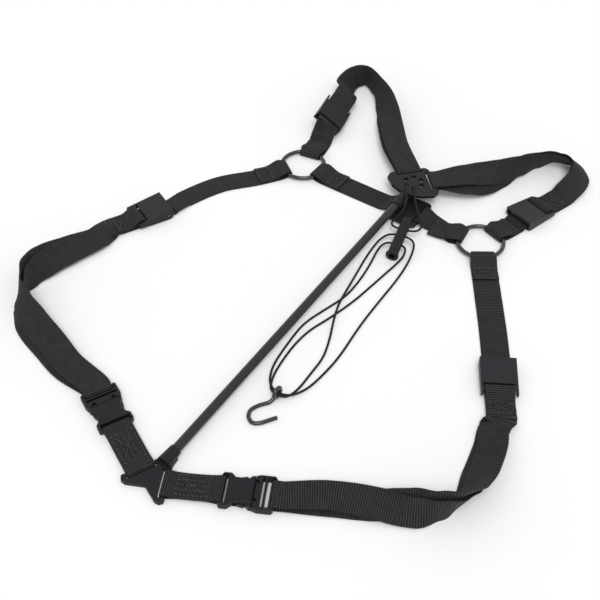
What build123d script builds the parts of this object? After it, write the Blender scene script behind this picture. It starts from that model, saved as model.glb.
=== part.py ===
from build123d import *
import os
from collections import namedtuple
from math import atan2, cos, degrees, hypot, pi, radians, sin, tan

# Saxophone harness: two shoulder loops, a cross strap and two waist straps of webbing, joined by
# two O-rings, held off the body by a rod between a waist bracket and a chest plate. A cord with a
# slider and a hook hangs from the chest plate. Millimetres. It lies on the plane z = 0. The origin
# is the middle of the waist bracket's underside, +Y runs up along the rod, and +Z is up.

# ---- webbing ----
WEB_WIDTH = 25.0
WEB_THICK = 1.4
REST_CLEAR = 0.7  # kept under the lower edge of a strap that leans on the ground
LAYER_GAP = 0.3  # between two layers that lie on each other
RING_CLEAR = 0.35  # between a ring's wire and the webbing round it
PLATE_CLEAR = 0.25  # between the back plate and the strap over and under it
SEWN_LENGTH = 22.0  # how far a stitched end lies back on its own strap
SEWN_SHORT = 14.0  # the same on the shoulder straps, whose cam buckles are near their rings

# ---- rod, its sockets and the two plates on it ----
ROD_DIAMETER = 8.0
ROD_BORE = 5.0
ROD_LOW_Y = 14.0  # where the rod ends inside the waist bracket's socket
ROD_HIGH_Y = 392.0  # where it ends inside the chest plate's socket
ROD_LOW_Z = 5.6
ROD_HIGH_Z = 13.0
SOCKET_WALL = 1.2
SOCKET_FIT = 0.05  # clearance all round the rod in its sockets
BRACKET_THICK = 5.0
PLATE_THICK = 3.5
PLATE_BOTTOM_Z = 14.6
PLATE_CENTRE_Y = 405.5
BAR_THICK = 2.0  # the moulded bars that webbing goes round
BAR_WIDTH = 2.4
BAR_CLEAR = 0.15  # between a bar's corners and the webbing round it
SLOT_WIDTH = 3.4
SLOT_SIDE_CLEAR = 0.75  # between the webbing's edge and the slot's end
HOLE_RING_RADIUS = 8.5
CORD_HOLE_DIAMETER = 5.0
PLATE_SLOT_DISTANCE = 16.6  # from the plate's centre to the middle of a shoulder slot
BRACKET_SLOT_ANGLE = 26.5  # the waist slots lean this far from the rod's line

# ---- back plate on the cross strap ----
BACK_X = 8.8
BACK_Y = 381.0
BACK_SIZE = (34.4, 40.0)
BACK_BOTTOM_Z = 2.2
BACK_THICK = 2.4
CROSS_LEAN = 7.0  # the cross strap reaches the right ring this far off the line between the rings

# ---- O-rings ----
RING_WIRE = 4.0
RING_MEAN_RADIUS = 22.0
RING_LEFT = (-116.7, 382.7)
RING_RIGHT = (88.6, 379.5)

# ---- cam buckle, in its own frame: +X away from the O-ring, the webbing's plane is z = 0 below ----
CAM_LENGTH = 36.0
CAM_WIDTH = 31.0
CAM_WALL = 1.3
CAM_SIDE_CLEAR = 0.2
CAM_LUG = 1.2
CAM_BASE_THICK = 1.5
CAM_LIFT = 0.3  # the base is this far above the webbing's lowest layer
CAM_TOP_HIGH = 11.2
CAM_TOP_LOW = 6.8
CAM_LID_THICK = 1.8
CAM_PIN = 2.0
CAM_PIN_FIT = 0.04
CAM_PIN_INSET = 4.5
CAM_TAIL_LENGTH = 20.0

# ---- side-release buckle, in its own frame: +X towards the adjustable strap ----
SOCKET_WIDTH = 29.6
PLUG_WIDTH = 31.0
BUCKLE_BOTTOM_Z = 0.5
BUCKLE_THICK = 6.8
BUCKLE_SHELL = 1.5
TAB_WIDTH = 24.0
TAB_REACH = {-1: 47.0, 1: 43.0}  # from the bracket's bar to the buckle's, left and right
BUCKLE_BACK = 21.5
BUCKLE_MOUTH = 5.0
ARM_CLEAR = 0.3

# ---- cord, slider and hook ----
CORD_DIAMETER = 2.0
KNOT_DIAMETER = 4.6
SLIDER_KNOT = 4.0
SLIDER_OUTER = 10.0
SLIDER_BORE = 6.6
SLIDER_COLLAR = 12.4
SLIDER_COLLAR_LENGTH = 3.0
SLIDER_HIGH = (19.5, 359.0, 11.6)
SLIDER_LOW = (29.9, 312.3, 6.4)
SLIDER_HOLES = (12.5, 20.5, 32.0)  # along the slider from its upper end
SLIDER_HOLE_DIAMETER = 3.4
HOOK_WIRE = 3.5
HOOK_EYE_RADIUS = 4.6
HOOK_EYE = (34.0, 118.8)

Station = namedtuple("Station", "at across width")
Z_AXIS = Vector(0, 0, 1)


def heading(degrees_from_x):
    """The level direction at an angle from +X."""
    return Vector(cos(radians(degrees_from_x)), sin(radians(degrees_from_x)), 0)


def save(shape, name):
    """Writes one node, and prints its volume."""
    shape.label = name
    export_step(shape, f"parts/{name}.step")
    print(f"{name}: {shape.volume:.0f} mm3")


def block(x0, x1, y0, y1, z0, z1):
    """A box between two corners."""
    return Pos((x0 + x1) / 2, (y0 + y1) / 2, (z0 + z1) / 2) * Box(x1 - x0, y1 - y0, z1 - z0)


def outline(points, low, high):
    """A prism over a closed outline of (x, y) points, or over those points and their mirror in x."""
    face = make_face(Polyline(*points, close=True))
    return Pos(0, 0, low) * extrude(face, high - low)


def mirrored(points):
    """An outline's points with x > 0, and the same ones on the other side."""
    return points + [(-x, y) for x, y in reversed(points) if x > 0]


# ---------------------------------------------------------------- webbing


def ribbon(stations, thick=WEB_THICK):
    """A strip of webbing through stations, each a point, the direction across it and a width."""
    rings = []
    for i, station in enumerate(stations):
        before = stations[max(i - 1, 0)].at
        after = stations[min(i + 1, len(stations) - 1)].at
        along = (after - before).normalized()
        normal = along.cross(station.across).normalized()
        half = normal.cross(along) * (station.width / 2)
        rise = normal * (thick / 2)
        at = station.at
        rings.append([at + half + rise, at - half + rise, at - half - rise, at + half - rise])
    faces = [Face(Wire.make_polygon(rings[0])), Face(Wire.make_polygon(rings[-1]))]
    for near, far in zip(rings, rings[1:]):
        for j in range(4):
            k = (j + 1) % 4
            first = Edge.make_line(near[j], near[k])
            second = Edge.make_line(far[j], far[k])
            faces.append(Face.make_surface_from_curves(first, second))
    return Solid(Shell(faces))


def across_at(along, roll):
    """The direction across a strip that runs along a line, tilted by roll degrees about it."""
    left = Z_AXIS.cross(Vector(along.X, along.Y, 0).normalized())
    return left * cos(radians(roll)) + Z_AXIS * sin(radians(roll))


class Frame:
    """A local frame on a strap's line: X along it, Y across it and Z through it."""

    def __init__(self, at, along_degrees, roll=0.0):
        self.at = Vector(*at)
        self.x = heading(along_degrees)
        self.y = across_at(self.x, roll)
        self.z = self.x.cross(self.y)
        self.location = Location(Plane(origin=self.at, x_dir=self.x, z_dir=self.z))

    def point(self, x, z, y=0.0):
        """The place of a local point."""
        return self.at + self.x * x + self.y * y + self.z * z

    def stations(self, profile, width=WEB_WIDTH):
        """Strip stations from (x, z) points of the local frame, with an optional width as third."""
        return [Station(self.point(p[0], p[1]), self.y, p[2] if len(p) > 2 else width) for p in profile]


def fold(radius, x=0.0, z=0.0, start=-90, sweep=-180, steps=4):
    """Points of a half-round fold about (x, z)."""
    angles = [start + sweep * i / steps for i in range(steps + 1)]
    return [(x + radius * cos(radians(a)), z + radius * sin(radians(a))) for a in angles]


RING_FOLD = RING_WIRE / 2 + RING_CLEAR + WEB_THICK / 2
RING_Z = RING_FOLD + WEB_THICK / 2 + 0.1
RING_WEB_WIDTH = 22.0  # the webbing draws in where it goes round the curved wire
RING_FOLD_X = RING_MEAN_RADIUS - 3.1  # the fold's centre, behind the wire at its edges
FLOOR_LAYER = WEB_THICK / 2 + 0.05
SECOND_LAYER = FLOOR_LAYER + WEB_THICK + LAYER_GAP


def ring_end(centre, along_degrees, roll=0.0, sewn=SEWN_LENGTH):
    """A stitched end round an O-ring: the tail on top, the fold, and the strap that leaves below."""
    side = -1 if abs(roll) > 90 else 1
    frame = Frame((*centre, RING_Z), along_degrees, 180 if side < 0 else 0)
    tail_x = RING_MEAN_RADIUS + 6 + sewn
    low = (FLOOR_LAYER - RING_Z) * side
    high = (SECOND_LAYER - RING_Z) * side
    profile = [(tail_x, high), (tail_x - sewn + 8, high), (RING_MEAN_RADIUS + 3, RING_FOLD * side)]
    arc = fold(RING_FOLD, RING_FOLD_X, 0, 90 * side, 180 * side)
    profile += [(x, z, RING_WEB_WIDTH) for x, z in arc]
    profile += [(RING_MEAN_RADIUS + 8, low), (tail_x + 2, low)]
    return frame.stations(profile)


BAR_FOLD = hypot(BAR_THICK, BAR_WIDTH) / 2 + BAR_CLEAR + WEB_THICK / 2  # to the webbing's middle
BRACKET_BAR_Z = BAR_FOLD + WEB_THICK / 2 + 0.1


def doubled(points, start, end):
    """The two layers of a strap along (x, y, lift, roll, spread, shift) stations, out and back.

    lift is how far the lower edge is off the ground. start and end are the directions in which the
    strap leaves the cam buckle and reaches the bar.
    """
    middles = []
    for x, y, lift, roll, spread, shift in points:
        tall = abs(sin(radians(roll))) * (WEB_WIDTH + abs(shift)) / 2
        deep = abs(cos(radians(roll))) * (spread + WEB_THICK) / 2
        middles.append(Vector(x, y, lift + tall + deep + REST_CLEAR))
    out, back = [], []
    for i, (x, y, lift, roll, spread, shift) in enumerate(points):
        before = middles[i - 1] if i else middles[0] - start * 20
        after = middles[i + 1] if i + 1 < len(points) else middles[-1] + end * 20
        along = (after - before).normalized()
        across = across_at(along, roll)
        normal = along.cross(across).normalized()
        across = normal.cross(along)
        out.append(Station(middles[i] - normal * spread / 2 - across * shift / 2, across, WEB_WIDTH))
        back.append(Station(middles[i] + normal * spread / 2 + across * shift / 2, across, WEB_WIDTH))
    return out, back


# ---------------------------------------------------------------- cam buckle

CAM_HALF = CAM_LENGTH / 2
CAM_PIN_X = -CAM_HALF + CAM_PIN_INSET
CAM_WEB_Z = CAM_LIFT + CAM_BASE_THICK + 0.3 + WEB_THICK / 2
CAM_PIN_Z = CAM_WEB_Z + WEB_THICK / 2 + 0.5 + CAM_PIN / 2
CAM_INNER = CAM_WIDTH - 2 * CAM_WALL
CAM_BAR_X = 12.6
CAM_BAR_WIDTH = 2.6
CAM_SLOPE = (CAM_TOP_HIGH - CAM_TOP_LOW) / CAM_LENGTH
TAIL_FOLD_Z = CAM_TOP_HIGH - CAM_SLOPE * (CAM_BAR_X + CAM_HALF) - CAM_LID_THICK / 2
TAIL_FOLD = hypot(CAM_LID_THICK, CAM_BAR_WIDTH) / 2 + BAR_CLEAR + WEB_THICK / 2
TAIL_END_X = CAM_HALF + CAM_TAIL_LENGTH
TAIL_LOW_Z = SECOND_LAYER
TAIL_HIGH_Z = SECOND_LAYER + WEB_THICK + LAYER_GAP


def side_profile(points, y0, y1):
    """A plate standing along X over (x, z) points, from y0 to y1."""
    face = make_face(Polyline(*[(x, 0, z) for x, z in points], close=True))
    return Pos(0, y0, 0) * extrude(face, y1 - y0, dir=(0, 1, 0))


def cam_lid():
    """The lid: a sloping top with a bar for the strap's end, two side walls and the cam's nose."""
    top = [(-CAM_HALF, CAM_TOP_HIGH), (CAM_HALF, CAM_TOP_LOW)]
    under = [(x, z - CAM_LID_THICK) for x, z in reversed(top)]
    half = CAM_WIDTH / 2
    slot_half = WEB_WIDTH / 2 + SLOT_SIDE_CLEAR
    lid = side_profile(top + under, -half, half)
    wall = top + [(CAM_HALF, CAM_TOP_LOW - CAM_LID_THICK - 2.0), (CAM_PIN_X + 2.4, CAM_PIN_Z - 4.0)]
    wall += [(CAM_PIN_X - 1.6, CAM_PIN_Z - 4.2), (-CAM_HALF + 0.4, CAM_PIN_Z - 2.0)]
    lid += side_profile(wall, -half, -half + CAM_WALL)
    lid += side_profile(wall, half - CAM_WALL, half)
    nose = [(-9.5, 9.0), (-4.5, 8.4), (-6.2, CAM_WEB_Z + WEB_THICK / 2 + 0.4)]
    nose += [(-8.2, CAM_WEB_Z + WEB_THICK / 2 + 0.4)]
    lid += side_profile(nose, -WEB_WIDTH / 2, WEB_WIDTH / 2)
    lid -= block(CAM_BAR_X - CAM_BAR_WIDTH / 2 - 3.6, CAM_BAR_X - CAM_BAR_WIDTH / 2, -slot_half, slot_half, 2, 12)
    lid -= block(CAM_BAR_X + CAM_BAR_WIDTH / 2, CAM_HALF + 1, -slot_half, slot_half, 2, 12)
    hole = CAM_PIN / 2 + CAM_PIN_FIT
    lid -= Pos(CAM_PIN_X, 0, CAM_PIN_Z) * Rot(90, 0, 0) * Cylinder(hole, CAM_WIDTH + 2)
    return lid


def cam_base():
    """The base that the webbing slides over, with two lugs for the pin inside the lid's walls."""
    half = CAM_INNER / 2 - CAM_SIDE_CLEAR
    low = CAM_LIFT
    base = block(-CAM_HALF + 1.4, 6.0, -half, half, low, low + CAM_BASE_THICK)
    lug = [(CAM_PIN_X - 2.6, low), (CAM_PIN_X + 7, low), (CAM_PIN_X + 7, low + 3)]
    lug += [(CAM_PIN_X + 2.2, CAM_PIN_Z + 2), (CAM_PIN_X - 2.2, CAM_PIN_Z + 2)]
    base += side_profile(lug, -half, -half + CAM_LUG)
    base += side_profile(lug, half - CAM_LUG, half)
    for x in (-7.0, -3.5, 0.0):
        base -= block(x, x + 1.2, -WEB_WIDTH / 2, WEB_WIDTH / 2, low + CAM_BASE_THICK - 0.4, low + 3)
    base -= Pos(CAM_PIN_X, 0, CAM_PIN_Z) * Rot(90, 0, 0) * Cylinder(CAM_PIN / 2 + 0.01, CAM_WIDTH)
    return base


def cam_pin():
    """The hinge pin, across the lid's full width."""
    return Pos(CAM_PIN_X, 0, CAM_PIN_Z) * Rot(90, 0, 0) * Cylinder(CAM_PIN / 2, CAM_WIDTH - 0.6)


def cam_tail(frame):
    """The strap's stitched end round the lid's bar, which moves with the lid."""
    profile = [(TAIL_END_X, TAIL_HIGH_Z), (CAM_HALF + 6, TAIL_HIGH_Z), (CAM_BAR_X + 3, TAIL_FOLD_Z + TAIL_FOLD)]
    profile += fold(TAIL_FOLD, CAM_BAR_X, TAIL_FOLD_Z, 90, 180)
    profile += [(CAM_BAR_X + 3, TAIL_FOLD_Z - TAIL_FOLD), (CAM_HALF + 6, TAIL_LOW_Z), (TAIL_END_X, TAIL_LOW_Z)]
    return ribbon(frame.stations(profile))


def cam_passage():
    """The strap's way through a cam buckle, as local points from the ring's side outwards."""
    way = [(-CAM_HALF - 4, FLOOR_LAYER + 0.1), (-CAM_HALF, CAM_WEB_Z), (5.0, CAM_WEB_Z), (12.0, 1.0)]
    return way + [(CAM_HALF, FLOOR_LAYER), (TAIL_END_X + 1, FLOOR_LAYER)]


# ---------------------------------------------------------------- side-release buckle

CAVITY_LOW = BUCKLE_BOTTOM_Z + BUCKLE_SHELL
CAVITY_HIGH = BUCKLE_BOTTOM_Z + BUCKLE_THICK - BUCKLE_SHELL
BAR_Z = BUCKLE_BOTTOM_Z + BUCKLE_THICK / 2
FEMALE_BAR_X = -BUCKLE_BACK + BAR_WIDTH / 2
MALE_BAR_X = BUCKLE_BACK - BAR_WIDTH / 2
ARM_ROOT_X = BUCKLE_MOUTH + 1.6
ARM_Y = 8.4


def buckle_female():
    """The socket half: a waisted shell with side windows, and a bar for the stitched tab."""
    half = SOCKET_WIDTH / 2
    low, high = BUCKLE_BOTTOM_Z, BUCKLE_BOTTOM_Z + BUCKLE_THICK
    side = [(-BUCKLE_BACK, half - 2.5), (-BUCKLE_BACK + 1.8, half), (-14, half), (-10.5, half - 3.4)]
    side += [(0.0, half - 3.4), (2.6, half - 0.8), (BUCKLE_MOUTH, half - 0.8)]
    shell = outline(side + [(x, -y) for x, y in reversed(side)], low, high)
    shell = chamfer(shell.edges().group_by(Axis.Z)[-1], 0.9)
    shell = chamfer(shell.edges().group_by(Axis.Z)[0], 0.6)
    shell -= block(-13, BUCKLE_MOUTH + 1, -9.9, 9.9, CAVITY_LOW, CAVITY_HIGH)
    shell -= block(-9.6, 0.2, -half, half, CAVITY_LOW, CAVITY_HIGH)
    web_half = TAB_WIDTH / 2 + SLOT_SIDE_CLEAR
    shell -= block(-BUCKLE_BACK + BAR_WIDTH, -BUCKLE_BACK + BAR_WIDTH + SLOT_WIDTH, -web_half, web_half, low - 1, high + 1)
    shell -= block(-BUCKLE_BACK - 1, -BUCKLE_BACK + BAR_WIDTH + 0.1, -web_half, web_half, low - 1, BAR_Z - BAR_THICK / 2)
    shell -= block(-BUCKLE_BACK - 1, -BUCKLE_BACK + BAR_WIDTH + 0.1, -web_half, web_half, BAR_Z + BAR_THICK / 2, high + 1)
    return shell


def buckle_male():
    """The plug half: a body with a guide tongue, a ladder bar and an outer bar for the strap."""
    half = PLUG_WIDTH / 2
    low, high = BUCKLE_BOTTOM_Z, BUCKLE_BOTTOM_Z + BUCKLE_THICK
    front = BUCKLE_MOUTH + 0.4
    side = [(front, half - 1.2), (9.0, half), (BUCKLE_BACK - 1.5, half), (BUCKLE_BACK, half - 2.0)]
    body = outline(side + [(x, -y) for x, y in reversed(side)], low, high)
    body = chamfer(body.edges().group_by(Axis.Z)[-1], 0.9)
    body = chamfer(body.edges().group_by(Axis.Z)[0], 0.6)
    web_half = WEB_WIDTH / 2 + SLOT_SIDE_CLEAR
    body -= block(10.6, 12.8, -web_half, web_half, low - 1, high + 1)
    body -= block(14.4, BUCKLE_BACK - BAR_WIDTH, -web_half, web_half, low - 1, high + 1)
    body -= block(BUCKLE_BACK - BAR_WIDTH - 0.1, BUCKLE_BACK + 1, -web_half, web_half, low - 1, BAR_Z - BAR_THICK / 2)
    body -= block(BUCKLE_BACK - BAR_WIDTH - 0.1, BUCKLE_BACK + 1, -web_half, web_half, BAR_Z + BAR_THICK / 2, high + 1)
    tongue = [(front + 1, 3.2), (-9.5, 2.4), (-11.0, 1.2)]
    body += outline(tongue + [(x, -y) for x, y in reversed(tongue)], CAVITY_LOW + ARM_CLEAR, CAVITY_HIGH - ARM_CLEAR)
    for y in (-ARM_Y, ARM_Y):
        body -= Pos(ARM_ROOT_X, y, BAR_Z) * Cylinder(1.9, 10)
        body -= block(front - 1, ARM_ROOT_X, y - 1.9, y + 1.9, low - 1, high + 1)
    return body


def buckle_arm(side):
    """One springy arm of the plug, with the shoulder that shows in the socket's side window."""
    points = [(ARM_ROOT_X - 0.2, ARM_Y + 1.1), (-0.4, ARM_Y + 1.1), (-0.4, 12.2), (-1.6, 13.2), (-5.0, 12.4)]
    points += [(-9.0, ARM_Y + 0.8), (-9.0, ARM_Y - 0.6), (-0.4, ARM_Y - 1.1), (ARM_ROOT_X - 0.2, ARM_Y - 1.1)]
    arm = outline(points, CAVITY_LOW + ARM_CLEAR, CAVITY_HIGH - ARM_CLEAR)
    root = Pos(ARM_ROOT_X, ARM_Y, BAR_Z) * Cylinder(1.6, CAVITY_HIGH - CAVITY_LOW - 2 * ARM_CLEAR)
    arm = arm + root
    return arm if side > 0 else mirror(arm, Plane.XZ)


# ---------------------------------------------------------------- rod and plates

ROD_TILT = degrees(atan2(ROD_HIGH_Z - ROD_LOW_Z, ROD_HIGH_Y - ROD_LOW_Y))
ROD_LENGTH = hypot(ROD_HIGH_Z - ROD_LOW_Z, ROD_HIGH_Y - ROD_LOW_Y)


def along_rod(shape):
    """Moves a shape built along +Z onto the rod's line, its z = 0 at the rod's lower end."""
    return Pos(0, ROD_LOW_Y, ROD_LOW_Z) * Rot(ROD_TILT - 90, 0, 0) * shape


def rod_stock(radius, start, end):
    """A cylinder on the rod's line, between two distances from its lower end."""
    return along_rod(Pos(0, 0, (start + end) / 2) * Cylinder(radius, end - start))


def rod_tube():
    """The rod itself."""
    return rod_stock(ROD_DIAMETER / 2, 0, ROD_LENGTH) - rod_stock(ROD_BORE / 2, -1, ROD_LENGTH + 1)


def slot_bar(length, extra=0.0):
    """Half the length of a slot for webbing."""
    return length / 2 + SLOT_SIDE_CLEAR + extra


SOCKET_RADIUS = ROD_DIAMETER / 2 + SOCKET_WALL
BRACKET_NECK = 6.0  # the socket's radius where it meets the bracket
BRACKET_SLOT_AT = (10.0, -1.6)


def bracket_frame(side):
    """The frame of a waist slot: X outwards across its bar, for side +1 right or -1 left."""
    x, y = BRACKET_SLOT_AT
    angle = BRACKET_SLOT_ANGLE if side > 0 else 180 - BRACKET_SLOT_ANGLE
    return Frame((side * x, y, 0), angle)


def waist_bracket():
    """The lower moulding: a socket for the rod that spreads into two arms with a slot each."""
    right = [(0, -10.4), (14.6, -17.0), (18.4, -16.9), (20.8, -14.0), (19.4, -8.5), (12.8, 9.6)]
    right += [(10.4, 12.0), (8.0, 12.8), (6.4, 14.6), (5.6, 18.0), (5.0, 24.0), (0, 24.0)]
    body = outline(mirrored(right), 0, BRACKET_THICK)
    body = fillet(body.edges().filter_by(Axis.Z).group_by(Axis.Y)[0], 1.2)
    body = chamfer(body.edges().group_by(Axis.Z)[-1], 0.7)
    body += along_rod(Pos(0, 0, 6.2) * Cone(BRACKET_NECK, SOCKET_RADIUS - 0.2, 15.4))
    body -= rod_stock(ROD_DIAMETER / 2 + SOCKET_FIT, 0, 30.0)
    body -= block(-30, 30, -30, 60, -5, 0)
    slot = slot_bar(WEB_WIDTH)
    for side in (1, -1):
        place = bracket_frame(side).location
        body -= place * block(-SLOT_WIDTH / 2, SLOT_WIDTH / 2, -slot, slot, -1, BRACKET_THICK + 1)
        body -= place * block(SLOT_WIDTH / 2 - 0.1, 9, -slot, slot, -1, BRACKET_BAR_Z - BAR_THICK / 2)
        body -= place * block(SLOT_WIDTH / 2 - 0.1, 9, -slot, slot, BRACKET_BAR_Z + BAR_THICK / 2, 9)
        body -= place * block(SLOT_WIDTH / 2 + BAR_WIDTH, 9, -slot, slot, -1, 9)
    return body


def plate_frame(side):
    """The frame of a shoulder slot's bar on the chest plate: X outwards."""
    angle = 45 if side > 0 else 135
    centre = Vector(0, PLATE_CENTRE_Y, PLATE_BOTTOM_Z + PLATE_THICK / 2)
    return Frame(tuple(centre + heading(angle) * PLATE_SLOT_DISTANCE), angle)


def chest_plate():
    """The upper moulding: two shoulder slots, a ring of six cord holes and a socket for the rod."""
    reach = (PLATE_SLOT_DISTANCE + SLOT_WIDTH / 2 + BAR_WIDTH) * 2**0.5
    right = [(0, -18.0), (7.0, -17.5), (16.4, -14.0), (26.6, -6.0), (reach - 1.6, 1.6), (0, reach)]
    body = Pos(0, PLATE_CENTRE_Y, 0) * outline(mirrored(right), PLATE_BOTTOM_Z, PLATE_BOTTOM_Z + PLATE_THICK)
    body = fillet(body.edges().filter_by(Axis.Z).group_by(Axis.Y)[-1], 6.0)
    body = fillet(body.edges().filter_by(Axis.Z).group_by(Axis.X)[-1], 2.5)
    body = fillet(body.edges().filter_by(Axis.Z).group_by(Axis.X)[0], 2.5)
    body = chamfer(body.edges().group_by(Axis.Z)[-1], 0.6)
    body += rod_stock(SOCKET_RADIUS, ROD_LENGTH - 22.0, ROD_LENGTH + 1.5)
    body -= rod_stock(ROD_DIAMETER / 2 + SOCKET_FIT, ROD_LENGTH - 30.0, ROD_LENGTH)
    slot = slot_bar(WEB_WIDTH)
    for side in (1, -1):
        place = plate_frame(side).location
        body -= place * block(-SLOT_WIDTH / 2, SLOT_WIDTH / 2, -slot, slot, -5, 5)
        body -= place * block(SLOT_WIDTH / 2 - 0.1, 9, -slot, slot, -5, -BAR_THICK / 2)
        body -= place * block(SLOT_WIDTH / 2 - 0.1, 9, -slot, slot, BAR_THICK / 2, 5)
    for i in range(6):
        at = heading(60 * i) * HOLE_RING_RADIUS
        hole = Pos(at.X, PLATE_CENTRE_Y + at.Y, PLATE_BOTTOM_Z) * Cylinder(CORD_HOLE_DIAMETER / 2, 12)
        body -= hole
    return body


def back_plate():
    """The slide on the cross strap, with a slot each side."""
    width, height = BACK_SIZE
    body = extrude(RectangleRounded(width, height, 5.0), BACK_THICK)
    body = chamfer(body.edges().group_by(Axis.Z)[-1], 0.7)
    slot = slot_bar(WEB_WIDTH)
    inner = width / 2 - BAR_WIDTH - SLOT_WIDTH
    for side in (1, -1):
        lo, hi = sorted((side * inner, side * (inner + SLOT_WIDTH)))
        body -= block(lo, hi, -slot, slot, -1, BACK_THICK + 1)
    return Pos(BACK_X, BACK_Y, BACK_BOTTOM_Z) * body


# ---------------------------------------------------------------- straps



def tab_frame(side):
    """The frame of a stitched tab: X from the bracket's bar to the buckle."""
    frame = bracket_frame(side)
    bar = SLOT_WIDTH / 2 + BAR_WIDTH / 2
    angle = BRACKET_SLOT_ANGLE if side > 0 else 180 - BRACKET_SLOT_ANGLE
    return Frame(tuple(frame.point(bar, BRACKET_BAR_Z)), angle)


def buckle_frame(side):
    """The frame of a side-release buckle, at the end of its tab."""
    tab = tab_frame(side)
    at = tab.point(TAB_REACH[side] - FEMALE_BAR_X, 0)
    angle = BRACKET_SLOT_ANGLE if side > 0 else 180 - BRACKET_SLOT_ANGLE
    return Frame((at.X, at.Y, 0), angle)


def tab(side):
    """The stitched tab: doubled webbing, sewn flat between its two bars."""
    frame = tab_frame(side)
    rise = BAR_Z - BRACKET_BAR_Z
    inner = BAR_FOLD - WEB_THICK / 2
    outer = inner + WEB_THICK
    length = TAB_REACH[side]
    with BuildSketch(Plane.XZ) as profile:
        with BuildLine():
            up = [(0, outer), (9, WEB_THICK), (length - 9, rise + WEB_THICK), (length, rise + outer)]
            down = [(length, rise - outer), (length - 9, rise - WEB_THICK), (9, -WEB_THICK), (0, -outer)]
            Polyline(*up)
            ThreePointArc(up[-1], (length + outer, rise), down[0])
            Polyline(*down)
            ThreePointArc(down[-1], (-outer, 0), up[0])
        make_face()
        for x, z in ((0.0, 0.0), (length, rise)):
            with Locations((x, z)):
                Circle(inner, mode=Mode.SUBTRACT)
            direction = 1 if x < length / 2 else -1
            with BuildLine():
                Polyline((x, z + inner), (x + direction * 5.5, z), (x, z - inner), close=True)
            make_face(mode=Mode.SUBTRACT)
    solid = extrude(profile.sketch, TAB_WIDTH / 2, both=True)
    return frame.location * solid


CAMS = {
    "waist_left": ((-199.5, 236.5, 0.0), -115.0, 0.0),
    "waist_right": ((178.2, 235.6, 0.0), -60.0, 0.0),
    "shoulder_left": ((-129.0, 462.0, 16.8), 102.0, -145.0),
    "shoulder_right": ((111.0, 443.2, 0.0), 70.5, 0.0),
}


def cam_frame(name):
    """A cam buckle's frame. A tilted one is placed by its webbing, so the frame starts below it."""
    at, angle, roll = CAMS[name]
    frame = Frame(at, angle, roll)
    if roll:
        frame = Frame(tuple(frame.point(0, -CAM_WEB_Z)), angle, roll)
    return frame


# Each doubled stretch from the cam buckle to its bar: x, y, lift, roll, spread of the layers, shift.
DOUBLED = {
    "waist_left": [
        (-216, 179, 0, -14, 3.4, 2),
        (-224, 151, 0, -25, 3.8, 5),
        (-229, 126, 0, -42, 3.8, 6),
        (-228, 104, 0, -72, 3.6, 6),
        (-220, 84, 0, -102, 3.6, 6),
        (-206, 70, 0, -132, 3.6, 7),
        (-186, 61, 0, -157, 3.6, 7),
        (-158, 53, 0, -168, 3.6, 6),
        (-131, 45, 0, -174, 3.6, 4),
    ],
    "waist_right": [
        (198, 187, 0, 10, 2.6, 1),
        (204, 168, 0, 17, 2.8, 4),
        (209, 142, 0, 24, 3.2, 7),
        (212, 119, 0, 40, 3.6, 8),
        (211, 104, 0, 70, 3.6, 8),
        (201, 92, 0, 92, 3.6, 8),
        (184, 80, 0, 124, 3.6, 6),
        (156, 71, 0, 158, 3.6, -1),
        (125, 58, 0, 172, 3.6, -4),
    ],
    "shoulder_left": [
        (-147, 513, 4, -142, 2.6, 0),
        (-150, 529, 1, -124, 2.6, 0),
        (-147, 540, 0, -106, 2.6, 0),
        (-139, 545, 0, -94, 2.8, 1),
        (-118, 533, 0, -104, 3.0, 3),
        (-93, 509, 3, -140, 3.2, 3),
        (-71, 481, 9, -172, 3.8, 2),
        (-48, 452, 11, -180, 4.4, 2),
    ],
    "shoulder_right": [
        (128, 491, 0, 18, 2.6, 0),
        (130, 516, 0, 36, 2.8, 0),
        (119, 531, 0, 44, 3.0, 0),
        (102, 530, 0, 52, 3.0, 0),
        (88, 515, 0, 72, 3.0, 0),
        (76, 494, 0, 96, 3.2, -2),
        (65, 471, 0, 124, 3.6, -5),
        (53, 453, 3, 148, 4.0, -9),
        (40, 441, 8, 166, 4.6, -9),
    ],
}
STRAPS = {
    "waist_left": (RING_LEFT, -126.0, [(-171.0, 312.0), (-186.0, 276.0)]),
    "waist_right": (RING_RIGHT, -57.0, [(127.0, 320.0), (150.0, 283.5)]),
    "shoulder_left": (RING_LEFT, 100.0, [(-125.2, 433.5)]),
    "shoulder_right": (RING_RIGHT, 70.8, []),
}


def bar_end(name):
    """The far bar of an adjustable strap: its frame, X pointing back along the strap."""
    side = 1 if name.endswith("right") else -1
    if name.startswith("waist"):
        buckle = buckle_frame(side)
        at = buckle.point(MALE_BAR_X, BAR_Z)
        angle = BRACKET_SLOT_ANGLE if side > 0 else 180 - BRACKET_SLOT_ANGLE
    else:
        place = plate_frame(side)
        at = place.point(SLOT_WIDTH / 2 + BAR_WIDTH / 2, 0)
        angle = 45 if side > 0 else 135
    return at, heading(angle)


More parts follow.
